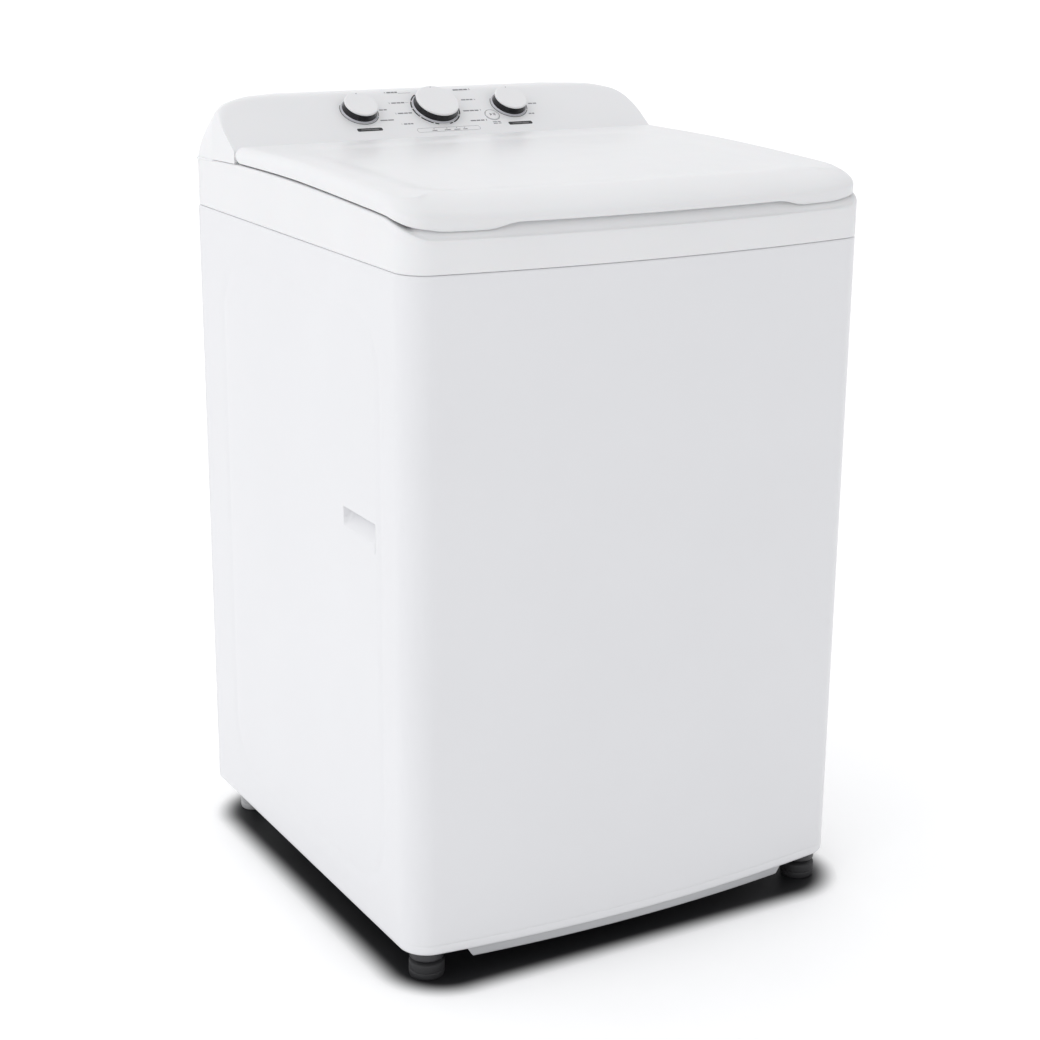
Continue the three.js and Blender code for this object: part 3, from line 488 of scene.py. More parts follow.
PAINT = make_material("cabinet_paint", (0.71, 0.712, 0.728), 0.33, coat=0.2, coat_roughness=0.15,
                      tone=0.006, rough_spread=0.01, grain=90, bump=0.0)
COVER_WHITE = make_material("cover_white", (0.735, 0.736, 0.745), 0.38, coat=0.12, coat_roughness=0.25,
                            tone=0.01, grain=1500, bump=0.06, subsurface=0.04)
LID_WHITE = make_material("lid_white", (0.735, 0.736, 0.744), 0.34, coat=0.18, coat_roughness=0.2,
                          tone=0.01, grain=1500, bump=0.05, subsurface=0.04)
KNOB_WHITE = make_material("knob_white", (0.735, 0.735, 0.742), 0.33, coat=0.2, coat_roughness=0.15,
                           tone=0.01, grain=1800, bump=0.04, subsurface=0.03)
GLOSS_BLACK = make_material("gloss_black", (0.008, 0.008, 0.01), 0.22, coat=0.1, coat_roughness=0.1,
                            specular=0.3, tone=0.1, grain=1200, bump=0.0)
CHROME = make_material("satin_chrome", (0.42, 0.42, 0.45), 0.34, metallic=1.0, tone=0.03, grain=1500,
                       bump=0.03, stretch=(1, 1, 0.1))
PRINT_BLACK = make_material("print_black", (0.02, 0.02, 0.023), 0.5, tone=0.1, grain=3000, bump=0.05)
PRINT_GREY = make_material("print_grey", (0.2, 0.2, 0.21), 0.5, tone=0.08, grain=3000, bump=0.05)
PRINT_LABEL = make_material("print_label", (0.2, 0.2, 0.2), 0.5, tone=0.03, grain=3000, bump=0.05)
INNER_WHITE = make_material("inner_plastic", (0.7, 0.705, 0.715), 0.45, tone=0.02, grain=700,
                            bump=0.08, subsurface=0.05)
TUB_PLASTIC = make_material("tub_plastic", (0.56, 0.57, 0.58), 0.5, tone=0.03, grain=500, bump=0.12,
                            subsurface=0.05)
RAIL_GREY = make_material("rail_grey", (0.55, 0.555, 0.57), 0.4, coat=0.1, tone=0.02, grain=900,
                          bump=0.06)
RUBBER = make_material("foot_rubber", (0.018, 0.018, 0.02), 0.62, tone=0.2, grain=500, bump=0.25)
GREY_PLASTIC = make_material("foot_grey", (0.42, 0.425, 0.43), 0.5, tone=0.04, grain=600, bump=0.15)
DARK_PLASTIC = make_material("dark_plastic", (0.03, 0.03, 0.033), 0.42, tone=0.1, grain=700, bump=0.15)
HOSE_GREY = make_material("hose_grey", (0.2, 0.205, 0.21), 0.55, tone=0.08, grain=400, bump=0.15)
ZINC = make_material("zinc_sheet", (0.6, 0.61, 0.63), 0.36, metallic=1.0, tone=0.07, tone_scale=40,
                     rough_spread=0.1, grain=250, bump=0.05)
STEEL = make_material("machined_steel", (0.55, 0.56, 0.575), 0.28, metallic=1.0, tone=0.04, grain=900,
                      bump=0.06, stretch=(1, 1, 8))
STAINLESS = make_material("stainless", (0.62, 0.62, 0.625), 0.26, metallic=1.0, tone=0.03, grain=500,
                          bump=0.06, stretch=(1, 1, 0.06), rough_spread=0.05)
CAST = make_material("cast_aluminium", (0.5, 0.51, 0.52), 0.5, metallic=1.0, tone=0.08, grain=300,
                     bump=0.3)
BOARD = make_material("circuit_board", (0.02, 0.11, 0.05), 0.4, coat=0.3, tone=0.15, grain=600,
                      bump=0.1)
MOTOR_BLACK = make_material("motor_black", (0.03, 0.032, 0.036), 0.45, metallic=0.3, tone=0.1,
                            grain=350, bump=0.2)
COPPER = make_material("copper_wire", (0.45, 0.2, 0.09), 0.4, metallic=0.8, tone=0.15, grain=500,
                       bump=0.2, stretch=(1, 1, 0.1))
MARK_RED = make_material("mark_red", (0.5, 0.03, 0.025), 0.4, tone=0.05)
MARK_BLUE = make_material("mark_blue", (0.03, 0.09, 0.42), 0.4, tone=0.05)
CUP_BLUE = make_material("cup_plastic", (0.6, 0.635, 0.68), 0.3, coat=0.2, tone=0.02, grain=800,
                         bump=0.05, subsurface=0.06)

# ---------------------------------------------------------------- cabinet sheet

GRIP_FRONT, GRIP_BACK = -227 * MM, -134 * MM
GRIP_LOW, GRIP_HIGH = LEG + 531 * MM, LEG + 570 * MM
GRIP_DEPTH = 18 * MM


def grip_depth(y, z):
    """Depth of the pressed hand grip: a wedge, deepest under its upper edge, and a groove at its front."""
    ramp_foot, ramp_top = GRIP_LOW + 13 * MM, GRIP_HIGH - 2 * MM
    slope = GRIP_DEPTH * np.clip((z - ramp_foot) / (ramp_top - ramp_foot), 0, 1)
    ends = step(y, GRIP_FRONT, GRIP_FRONT + 3 * MM) * (1 - step(y, GRIP_BACK - 2 * MM, GRIP_BACK))
    wedge = slope * ends * (1 - step(z, ramp_top, GRIP_HIGH))
    tall = (z > GRIP_LOW) & (z < GRIP_HIGH)
    groove = 1.8 * MM * np.clip(1 - np.abs(y - GRIP_FRONT) / (1.5 * MM), 0, 1) * tall
    return np.maximum(wedge, groove)


def panel_bead(y, z):
    """Shallow step that frames the middle of each side panel."""
    frame_box = (-242 * MM, 262 * MM, LEG + 60 * MM, SEAM - 62 * MM)
    radius = 80 * MM
    from_outline = np.abs(past_core(y, z, frame_box, radius) - radius)
    return 1.1 * MM * (1 - step(from_outline, 0.5 * MM, 7 * MM))


def cabinet_wrap():
    """Sheet round both sides and the bowed front, folded in at its foot and under the top cover."""
    cx = SIDE - CORNER
    middle = FRONT + BOW_RADIUS
    cy = middle - math.sqrt((BOW_RADIUS - CORNER) ** 2 - cx ** 2)
    lean = math.asin(cx / (BOW_RADIUS - CORNER))
    down = 1.5 * math.pi
    side_y = stations(round(cy, 4), BACK - SHEET - GAP, 6 * MM, 1.5 * MM, (GRIP_FRONT, GRIP_BACK), 7 * MM)
    side_y[0] = cy
    count = len(side_y)
    left = np.column_stack([np.full(count, -SIDE), side_y[::-1]])
    right = np.column_stack([np.full(count, SIDE), side_y])
    turns = [(math.pi, down - lean, 14), (down - lean, down + lean, 60), (down + lean, 2 * math.pi, 14)]
    bends = [((-cx, cy), CORNER), ((0, middle), BOW_RADIUS), ((cx, cy), CORNER)]
    path = np.vstack([left[:-1], *(arc(*bend, *turn)[:-1] for bend, turn in zip(bends, turns)), right])
    out = np.vstack([np.tile((-1.0, 0.0), (count - 1, 1)), *(arc((0, 0), 1, *turn)[:-1] for turn in turns),
                     np.tile((1.0, 0.0), (count, 1))])
    on_side = np.abs(out[:, 0]) > 0.999
    faces_front = step(-out[:, 1], 0.35, 0.95)
    y = path[:, 1]
    rows = []
    foot = [(22, 0), (8, 0), (3.2, 0), (1.7, 0.5), (0.9, 1.4), (0.4, 2.8), (0.15, 4.5), (0, 7), (0, 10)]
    for inset, rise in foot:
        rows.append((LEG + rise * MM, inset * MM * np.ones(len(path))))
    for rise, inset in [(12.2, 0.05), (13, 0.5), (13.8, 0.05)]:
        rows.append((LEG + rise * MM, inset * MM * faces_front))
    for z in stations(LEG + 16 * MM, SEAM - 4 * MM, 7 * MM, 1.2 * MM,
                      (GRIP_LOW, GRIP_LOW + 13 * MM, GRIP_HIGH), 5 * MM):
        rows.append((z, np.where(on_side, grip_depth(y, np.full_like(y, z)) + panel_bead(y, z), 0)))
    for drop, inset in [(2.6, 0), (1.5, 0.25), (0.7, 0.9), (0.2, 1.8), (0, 3), (0, 14)]:
        rows.append((SEAM - drop * MM, inset * MM * np.ones(len(path))))
    points = np.vstack([at_height(path - out * inset[:, None], z) for z, inset in rows])
    faces = grid_faces(len(rows), len(path))
    piece = mesh_object("cabinet_sheet", points, faces, PAINT, sharp=60, tidy=False)
    return give(solidify(piece, SHEET - 0.2 * MM), "cabinet", ["cabinet_wrap"])


cabinet_wrap()

# ---------------------------------------------------------------- top cover

cover_edge = smooth_curve([(y * MM, SEAM + z * MM) for y, z in [
    (-347, 41.5), (-334, 41.5), (-328, 42), (-324, 44), (-318, 47.5), (-306, 52.5), (-296, 56),
    (-275, 61.5), (-240, 64.8), (-209, 66.1), (-110, 70.2), (0, 73.5), (204, 73.5), (347, 68)]])
DECK = SEAM + 52 * MM
MOUTH_X, MOUTH_Y = 215 * MM, 190 * MM
RING_HOLE = 7 * MM


def cove(edge, inset):
    """Rise of the scoop behind the front ridge, where fingers go under the lid."""
    share = np.clip((inset - 4 * MM) / (12 * MM), 0, 1) ** 1.6
    return 14.5 * MM * share * (1 - step(edge, -325 * MM, -300 * MM))


def well_outline(inset=0.0):
    return loop(316 * MM, -292 * MM, 204.6 * MM, 24 * MM, rear=24 * MM, bow=STRAIGHT, inset=inset)


def mouth_outline(grow):
    """Oval of the loading mouth, with points that match the well's outline."""
    well = well_outline()
    angles = np.arctan2(well[:, 1] / MOUTH_Y, well[:, 0] / MOUTH_X)
    return np.column_stack([(MOUTH_X + grow) * np.cos(angles), (MOUTH_Y + grow) * np.sin(angles)])


def top_cover():
    outline = dict(half=SIDE, front=FRONT, back=BACK, corner=CORNER, rear=5 * MM)
    edge = loop(**outline)[:, 1] - 2 * MM
    top = cover_edge(edge)
    rings = []
    for inset, z in [(3, 3), (3, 0.6), (2.2, 0.3), (1.2, 0.3), (0.5, 0.6), (0.1, 1.2), (0, 2.2)]:
        rings.append(at_height(loop(**outline, inset=inset * MM), SEAM + z * MM))
    for share in (0.25, 0.5, 0.75):
        rings.append(at_height(loop(**outline), SEAM + 2 * MM + share * (top - SEAM - 6 * MM)))
    for inset, drop in [(0, 4.5), (0.15, 3.2), (0.6, 2), (1.4, 1), (2.6, 0.35), (4.2, 0.05)]:
        rings.append(at_height(loop(**outline, inset=inset * MM), top - drop * MM))
    for inset in (6, 8, 10, 12, 13.5, 15, 16, 17, 21):
        rings.append(at_height(loop(**outline, inset=inset * MM), top + cove(edge, inset * MM)))
    last = rings[-1]
    lip = last[:, 2]
    for share in (0.5, 0.96):
        rings.append(at_height(last[:, :2] * (1 - share) + well_outline() * share, lip))
    for inset, drop in [(-0.2, 0.4), (0, 2.5)]:
        rings.append(at_height(well_outline(inset * MM), lip - drop * MM))
    rings.append(at_height(well_outline(), DECK + 4 * MM))
    for inset, rise in [(0.5, 1.8), (2, 0.5), (5, 0)]:
        rings.append(at_height(well_outline(inset * MM), DECK + rise * MM))
    inner, hole = rings[-1][:, :2], mouth_outline(RING_HOLE)
    for share in (0.35, 0.7, 0.93):
        rings.append(at_height(inner * (1 - share) + hole * share, DECK))
    for grow, drop in [(0.8, 0.3), (0, 1.4), (0, 5)]:
        rings.append(at_height(mouth_outline(RING_HOLE + grow * MM), DECK - drop * MM))
    points, faces = stacked(rings)
    piece = mesh_object("top_cover_moulding", points, faces, COVER_WHITE, sharp=60, tidy=False)
    solidify(piece, 2.4 * MM)
    low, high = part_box("water_spout")
    window = block("spout_cut", (low.x - MM, 190 * MM, low.z - MM), (high.x + MM, 206 * MM, high.z + MM),
                   COVER_WHITE)
    slot = block("strike_cut", (269 * MM, -189 * MM, 940 * MM), (279 * MM, -163 * MM, 1000 * MM),
                 COVER_WHITE)
    carve(piece, window, slot)
    return give(piece, "cabinet", ["top_cover"])


def mouth_ring():
    """Guard ring of the loading mouth: a rolled lip on the deck and a neck down to the tub."""
    section = [(13, 0.4), (13, 2), (12.4, 2.9), (11.2, 3.3), (4, 3.5), (2.2, 3.1), (0.9, 2), (0.2, 0.4),
               (0, -2), (0, -30), (0, -60), (0.1, -86), (0.9, -88.7), (2.1, -88.7), (3, -86), (3, -40),
               (3, -1), (4, 0.4)]
    rings = [at_height(mouth_outline(grow * MM), DECK + rise * MM) for grow, rise in section]
    points, faces = stacked(rings, close=True)
    piece = mesh_object("mouth_ring_moulding", points, faces, INNER_WHITE, sharp=50)
    low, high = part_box("water_spout")
    window = block("spout_cut", (low.x - MM, 120 * MM, low.z - MM), (high.x + MM, 196 * MM, high.z + MM),
                   INNER_WHITE)
    carve(piece, window)
    return give(piece, "cabinet", ["mouth_ring"])


top_cover()
mouth_ring()


def hinge_ears():
    tall = HINGE_Z - DECK + MM
    outline = [(-5 * MM, 0), (5 * MM, 0), *arc((0, tall), 5 * MM, 0, math.pi, 16)]
    for side, name in SIDES:
        ear = prism(f"hinge_ear_{name}", outline, -4 * MM, 4 * MM, COVER_WHITE)
        turn = Matrix(((0, 0, 1, side * EAR_X), (1, 0, 0, HINGE_Y), (0, 1, 0, DECK - MM), (0, 0, 0, 1)))
        give(bevel(place(ear, turn), 0.6 * MM), "cabinet")


hinge_ears()

# ---------------------------------------------------------------- lid

lid_crown = smooth_curve([(y * MM, SEAM + z * MM) for y, z in [
    (-340, 83.5), (-290, 87), (-250, 89.6), (-150, 94), (-50, 97), (0, 98), (205, 98)]])
lid_rim = smooth_curve([(y * MM, SEAM + z * MM) for y, z in [
    (-338, 57), (-320, 57.3), (-310, 58), (-300, 59.6), (-275, 64.3), (-240, 67), (-209, 68.3),
    (-110, 72.4), (0, 76), (205, 76)]])


def lid_outline(inset):
    return loop(SIDE - 0.5 * MM, FRONT + 9 * MM, HINGE_Y + LID_TRAVEL, CORNER - MM, rear=2 * MM,
                inset=inset, counts=(44, 14, 60, 3))


def front_share(plan):
    """0 along the lid's sides and 1 along its front, by place on the outline."""
    y = plan[:, 1]
    x = np.abs(plan[:, 0])
    return (1 - step(y, -330 * MM, -245 * MM)) * (1 - 0.35 * step(x, 250 * MM, 330 * MM))


def inside_arc(plan, z, radius):
    """Keeps a height inside the round rear edge."""
    back = np.clip((plan[:, 1] - HINGE_Y) / radius, 0, 1)
    reach = radius * np.sqrt(1 - back ** 2)
    rear = plan[:, 1] > HINGE_Y
    return np.where(rear, np.clip(z, HINGE_Z - reach, HINGE_Z + reach), z)


def lid_top(plan, inset, share):
    """Height of the lid's upper face: crown, rounded sides, long nose and shallow sunk middle."""
    x, y = plan[:, 0], plan[:, 1]
    width = (14 + 72 * share) * MM
    height = (14 + 10 * share) * MM
    drop = quarter(np.full(len(plan), inset), width, height)
    side_drop = quarter(SIDE - 0.5 * MM - np.abs(x), 14 * MM, 14 * MM)
    drop = np.where(y > 150 * MM, side_drop, drop)
    sunk_box = (-292 * MM, 292 * MM, -267 * MM, 157 * MM)
    sink = 3.2 * MM * (1 - step(past_core(x, y, sunk_box, 70 * MM), 40 * MM, 78 * MM))
    return lid_crown(y) - drop - sink


def lip_dip(edge, inset):
    """How far the lid's front corners hang below its middle, as two finger lips."""
    x = np.abs(edge[:, 0])
    along = step(x, 192 * MM, 236 * MM) * (1 - 0.55 * step(x, 285 * MM, 325 * MM))
    at_front = 1 - step(edge[:, 1], -318 * MM, -288 * MM)
    return 7.5 * MM * along * at_front * (1 - step(inset, 2 * MM, 6 * MM))


def lid_outer():
    """Hollow lid skin from its turned-in rim up and over its top, notched round the hinge ears."""
    share = front_share(lid_outline(0))
    insets = [0, 0.25, 0.8, 1.7, 3, 4.6, 6.5, 8.6, 11, 14, 18, 23, 29, 36, 44, 52, 60, 68, 76, 84, 93,
              103, 115, 130, 150, 175, 205, 235, 258]
    skin = []
    for inset in insets:
        plan = lid_outline(inset * MM)
        z = inside_arc(plan, lid_top(plan, inset * MM, share), LID_TRAVEL)
        skin.append(np.column_stack([plan, z]))
    edge = skin[0]
    rings = []
    for inset, rise in [(9, 4), (6, 2.4), (4.5, 1.4), (3, 0.7), (1.8, 0.1), (0.9, 0), (0.35, 0.35),
                        (0.05, 0.9)]:
        plan = lid_outline(inset * MM)
        z = lid_rim(plan[:, 1]) - lip_dip(edge, inset * MM) + rise * MM
        rings.append(at_height(plan, inside_arc(plan, z, LID_TRAVEL)))
    rim = rings[-1][:, 2]
    for part in (0.35, 0.7):
        rings.append(at_height(edge[:, :2], rim + part * np.maximum(edge[:, 2] - rim, 0)))
    rings += skin
    points, faces = stacked(rings)
    count = len(edge)
    faces.append(tuple(range(len(points) - count, len(points))))
    piece = mesh_object("lid_skin", points, faces, LID_WHITE, sharp=60, tidy=False)
    solidify(piece, 1.6 * MM)
    notches = [block("notch", (side * EAR_X - 7 * MM, HINGE_Y - 14 * MM, HINGE_Z - 20 * MM),
                     (side * EAR_X + 7 * MM, HINGE_Y + 20 * MM, HINGE_Z + 7 * MM), LID_WHITE)
               for side, _ in SIDES]
    carve(piece, *notches)
    return give(piece, "lid", ["lid_outer"])


lid_outer()

# ---------------------------------------------------------------- console


def resampled(points, count):
    """Points spaced evenly along a polyline."""
    points = np.array(points, float)
    along = np.concatenate([[0], np.cumsum(np.linalg.norm(np.diff(points, axis=0), axis=1))])
    at = np.linspace(0, along[-1], count)
    return np.column_stack([np.interp(at, along, points[:, k]) for k in (0, 1)])


def half_outline(points):
    """Right half of a front view of the console, from its foot to its middle."""
    outer = fillet([(x * MM, SEAM + z * MM) for x, z in points], [0, 14 * MM, 9 * MM, 9 * MM, 22 * MM, 0])
    shoulder = resampled(outer, 46)
    x, z = shoulder[-1]
    return np.vstack([shoulder, at_height(np.linspace(x, 0, 14)[1:], z)])


def console_side(y):
    """Height of the console above the cabinet at depth y: sloped face, flat top and round rear edge."""
    face = FACE_FOOT.z + (y - FACE_FOOT.y) * math.tan(TILT)
    return soft_min(face, TOP, 7 * MM) - quarter(BACK - y, 9 * MM, 9 * MM)


def console_housing():
    """Console shell: sections from its front foot over the control face to its rear, drawn in at the back."""
    near = half_outline([(343, 60), (343, 123), (338, 136), (325, 147), (293, 157), (239, 160)])
    far = half_outline([(343, 60), (335, 91), (319, 117), (304, 139), (272, 149), (217, 153.5)])
    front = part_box("console_housing")[0].y
    draw_in = 285 * MM
    sections = []

    def section(y, limit):
        share = max(y - draw_in, 0) / (BACK + 5 * MM - draw_in)
        half = near * (1 - share) + far * share
        foot = float(cover_edge(y)) + GAP
        z = np.maximum(soft_min(half[:, 1], limit, 6 * MM), foot)
        right = np.column_stack([half[:, 0], np.full(len(half), y), z])
        left = right[:-1][::-1] * (-1, 1, 1)
        sections.append(np.vstack([right, left]))

    foot = float(cover_edge(front)) + GAP
    crest = float(console_side(front)) - 2.5 * MM
    for share in (0, 0.3, 0.6, 1):
        section(front, foot + share * (crest - foot))
    for back, drop in [(0.15, 1.5), (0.6, 0.75), (1.4, 0.25)]:
        y = front + back * MM
        section(y, float(console_side(y)) - drop * MM)
    rounded = [y * MM for y in (339.5, 341, 342.5, 344, 345.2, 346.1, 346.7)]
    for y in [*stations(front + 2.6 * MM, 338 * MM, 4 * MM), *rounded, BACK]:
        section(y, float(console_side(y)))
    crest = float(console_side(BACK))
    foot = float(cover_edge(BACK)) + GAP
    for share in (0.7, 0.4, 0):
        section(BACK, foot + share * (crest - foot))
    points = np.vstack(sections)
    faces = grid_faces(len(sections), len(sections[0]))
    piece = mesh_object("console_moulding", points, faces, COVER_WHITE, sharp=60)
    solidify(piece, 2.4 * MM)
    low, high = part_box("console_rear_cover")
    hatch = block("hatch_cut", (low.x - GAP, 335 * MM, low.z - GAP), (high.x + GAP, 360 * MM, high.z + GAP),
                  COVER_WHITE)
    holes = []
    for name, x, s, radius in [*KNOBS, BUTTON]:
        hole = radius + GAP if name == "start_button" else 5 * MM
        profile = [(0, -8 * MM), (hole, -8 * MM), (hole, 8 * MM), (0, 8 * MM)]
        holes.append(on_face(turned("shaft_cut", profile, COVER_WHITE, axis=(x, s))))
    carve(piece, hatch, *holes)
    return give(piece, "cabinet", ["console_housing"])


FACE_UP = Vector((0, math.cos(TILT), math.sin(TILT)))
FACE_OUT = Vector((0, -math.sin(TILT), math.cos(TILT)))
FACE_TURN = Matrix((Vector((1, 0, 0)), FACE_UP, FACE_OUT)).transposed().to_4x4()


def on_face(piece):
    """Moves a piece from the control face's own frame (right, up the slope, outwards) into place."""
    return place(piece, Matrix.Translation(FACE_FOOT) @ FACE_TURN)


def control(node):
    """Name, place on the control face and radius of a knob or button."""
    low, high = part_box(node)
    centre = (low + high) / 2
    return node, centre.x, (centre - FACE_FOOT).dot(FACE_UP), (high.x - low.x) / 2


KNOBS = [control("water_level_knob"), control("cycle_knob"), control("temperature_knob")]
BUTTON = ("start_button", *control("start_button")[1:3], 10.4 * MM)


def knob(node, x, s, radius):
    """Dial: satin skirt, black grip band, white cap and a small mark."""
    at = dict(axis=(x, s))
    r = radius / MM
    skirt = turned(f"{node}_skirt", mm([
        (r - 6, 0.3), (r + 2.3, 0.3), (r + 2.5, 0.5), (r + 2.2, 0.8), (r + 1.5, 1.2), (r + 0.9, 1.9),
        (r + 0.5, 2.8), (r - 6, 2.8)]), CHROME, 96, **at)
    band = turned_form(f"{node}_band", [
        (r - 9, 2.4), (r + 1, 2.4), (r + 0.2, 5), (r - 0.2, 8), (r - 0.4, 12.6), (r - 9, 12.6)], 0.4,
        GLOSS_BLACK, 96, **at)
    cap = turned_form(f"{node}_cap", [
        (r - 4, 12), (r - 0.2, 12), (r, 13), (r - 0.4, 14.5), (r - 1.8, 15), (r * 0.5, 14.75), (0, 14.6)],
        [0, 0.3, 0.6, 0.8, 1.6, 6, 0], KNOB_WHITE, 96, **at)
    dot = turned(f"{node}_mark", mm([(0, 15.02), (0.75, 15.02), (0.85, 14.6), (0, 14.5)]), PRINT_BLACK, 24,
                 axis=(x, s + radius - 3.4 * MM))
    for piece in (skirt, band, cap, dot):
        give(on_face(piece), node)
    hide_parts(node)


def start_button():
    """Round button with a triangle and two bars on it."""
    name, x, s, radius = BUTTON
    r = radius / MM
    cap = turned_form("start_button_cap", [
        (0, -10.4), (4, -10.4), (4, -6), (12.5, -6), (12.5, -4), (r - 0.1, -4), (r - 0.1, 0.7), (r - 1, 1.1),
        (0, 1.35)], [0, 0.3, 0.5, 0.5, 0.5, 0.5, 0.6, 0.6, 0], KNOB_WHITE, 64, axis=(x, s))
    give(on_face(cap), name, [name])
    low, high = 1.05 * MM, 1.42 * MM
    tip = [(x - 4.2 * MM, s - 2.6 * MM), (x - 0.2 * MM, s), (x - 4.2 * MM, s + 2.6 * MM)]
    triangle = prism("start_mark", tip, low, high, PRINT_GREY)
    bars = []
    for a in (1.4, 3.4):
        bar = rounded_box(x + a * MM, x + (a + 1.1) * MM, s - 2.5 * MM, s + 2.5 * MM, 0.2 * MM)
        bars.append(prism("pause_mark", bar, low, high, PRINT_GREY))
    give(on_face(merged("start_button_symbol", [triangle, *bars])), name)


PRINT_HEIGHT = 0.12 * MM


def printed(outline, material, top=PRINT_HEIGHT):
    return prism("print", outline, -0.05 * MM, top, material)


def print_arc(x, s, inner, outer, start, stop, material):
    """Part of a ring on the face, in degrees anticlockwise from the right."""
    a, b = math.radians(start), math.radians(stop)
    count = max(6, int(abs(stop - start) / 4))
    outline = [*arc((x, s), outer, a, b, count), *arc((x, s), inner, b, a, count)]
    return printed(outline, material)


def print_bar(x0, x1, s, height, material, radius=None, top=PRINT_HEIGHT):
    radius = height / 2 if radius is None else radius
    return printed(rounded_box(x0, x1, s - height / 2, s + height / 2, radius), material, top)


def print_frame(x0, x1, s, height, line, material):
    """Outline of a rounded bar, as two arcs and two lines."""
    r = height / 2
    left = print_arc(x0 + r, s, r - line, r, 90, 270, material)
    right = print_arc(x1 - r, s, r - line, r, -90, 90, material)
    lines = [print_bar(x0 + r, x1 - r, s + side * (r - line / 2), line, material, 0.01 * MM)
             for side in (-1, 1)]
    return [left, right, *lines]


def print_words(x0, x1, s, height, material, share=(0.42, 0.3, 0.28), top=PRINT_HEIGHT):
    """A row of short dashes in place of a label."""
    gap = 1.1 * MM
    room = x1 - x0 - gap * (len(share) - 1)
    bars = []
    for part in share:
        bars.append(print_bar(x0, x0 + room * part, s, height, material, 0.3 * MM, top))
        x0 += room * part + gap
    return bars


def numeral(text, x, s, size, material):
    """A digit, centred on the face."""
    font = bpy.data.curves.new("numeral", "FONT")
    font.body = text
    font.size = size
    font.align_x = font.align_y = "CENTER"
    font.extrude = PRINT_HEIGHT / 2
    font.resolution_u = 3
    made = bpy.data.objects.new("numeral", font)
    bpy.context.scene.collection.objects.link(made)
    bpy.context.view_layer.update()
    mesh = bpy.data.meshes.new_from_object(made)
    mesh.materials.clear()
    mesh.materials.append(material)
    bpy.data.objects.remove(made)
    piece = bpy.data.objects.new("numeral", mesh)
    bpy.context.scene.collection.objects.link(piece)
    return place(piece, Matrix.Translation((x, s, PRINT_HEIGHT / 2)))


def control_print():
    """Printed rings, numbered rows of dashes, two labels and the strip under the middle dial."""
    prints, words = [], []
    left, middle, right = KNOBS
    for _, x, s, radius in (left, right):
        inner, outer = radius + 3.2 * MM, radius + 4.1 * MM
        prints += [print_arc(x, s, inner, outer, 148, 330, PRINT_BLACK),
                   print_arc(x, s, inner, outer, 334, 356, PRINT_BLACK)]
    _, x, s, radius = middle
    inner, outer = radius + 3.1 * MM, radius + 5.2 * MM
    for start, stop in [(4, 26), (30, 56), (124, 150), (154, 176), (180, 208), (212, 243), (247, 256),
                        (284, 293), (297, 328), (332, 360)]:
        prints.append(print_arc(x, s, inner, outer, start, stop, PRINT_BLACK))
    for i, (x0, x1, s) in enumerate([(-69, -47, 108), (-71, -45, 84), (-70, -42, 60.5), (-70, -50, 36.7)]):
        words += print_words((x0 + 5) * MM, x1 * MM, s * MM, 2.4 * MM, PRINT_GREY)
        words.append(numeral(str(4 - i), (x0 + 1.5) * MM, s * MM, 4.4 * MM, PRINT_GREY))
    for i, (x0, x1, s) in enumerate([(46, 75, 107.7), (50, 74, 84.2), (42.5, 73, 59.2), (45, 73, 36.6)]):
        words += print_words(x0 * MM, (x1 - 5) * MM, s * MM, 2.4 * MM, PRINT_GREY)
        words.append(numeral(str(5 + i), (x1 - 1.5) * MM, s * MM, 4.4 * MM, PRINT_GREY))
    for x0, x1, s in [(158, 172, 69), (148.5, 158, 46.3), (-91.5, -79.4, 70), (-98.8, -77.3, 47)]:
        words += print_words(x0 * MM, x1 * MM, s * MM, 2.2 * MM, PRINT_GREY, (0.55, 0.45))
    for x0, x1, s in [(-46, -26, 105.5), (-43.5, -37, 84)]:
        prints.append(print_bar(x0 * MM, x1 * MM, s * MM, 0.25 * MM, PRINT_GREY))
    for x0, x1, s in [(-143, -103, 28.5), (105, 145, 26.5)]:
        prints.append(print_bar(x0 * MM, x1 * MM, s * MM, 6.6 * MM, PRINT_BLACK, 2.6 * MM))
        prints += print_words((x0 + 6) * MM, (x1 - 6) * MM, s * MM, 1.4 * MM, PRINT_LABEL, (0.6, 0.4),
                              top=PRINT_HEIGHT + 0.05 * MM)
    words += print_frame(-50 * MM, 54 * MM, 21 * MM, 9 * MM, 0.35 * MM, PRINT_GREY)
    for x0, x1 in [(-26, -18), (-6, 4), (10, 20), (25, 32)]:
        words.append(print_bar(x0 * MM, x1 * MM, 19.4 * MM, 1.5 * MM, PRINT_GREY, 0.3 * MM))
        words.append(print_arc((x0 + x1) / 2 * MM, 23 * MM, 0, 0.8 * MM, 0, 359.9, PRINT_GREY))
    _, x, s, radius = BUTTON
    words.append(print_arc(x, s, radius + 0.9 * MM, radius + 1.5 * MM, 0, 359.99, PRINT_GREY))
    for row in (31.5, 28.2):
        words += print_words(x - 6 * MM, x + 7 * MM, row * MM, 1.5 * MM, PRINT_GREY, (0.6, 0.4))
    give(on_face(merged("control_print", prints + words)), "cabinet")


console_housing()
for each in KNOBS:
    knob(*each)
start_button()
control_print()

# ---------------------------------------------------------------- inside of the lid


def pan_outline(inset):
    return loop(290 * MM, -258 * MM, 178 * MM, 30 * MM, rear=30 * MM, bow=STRAIGHT, inset=inset * MM)


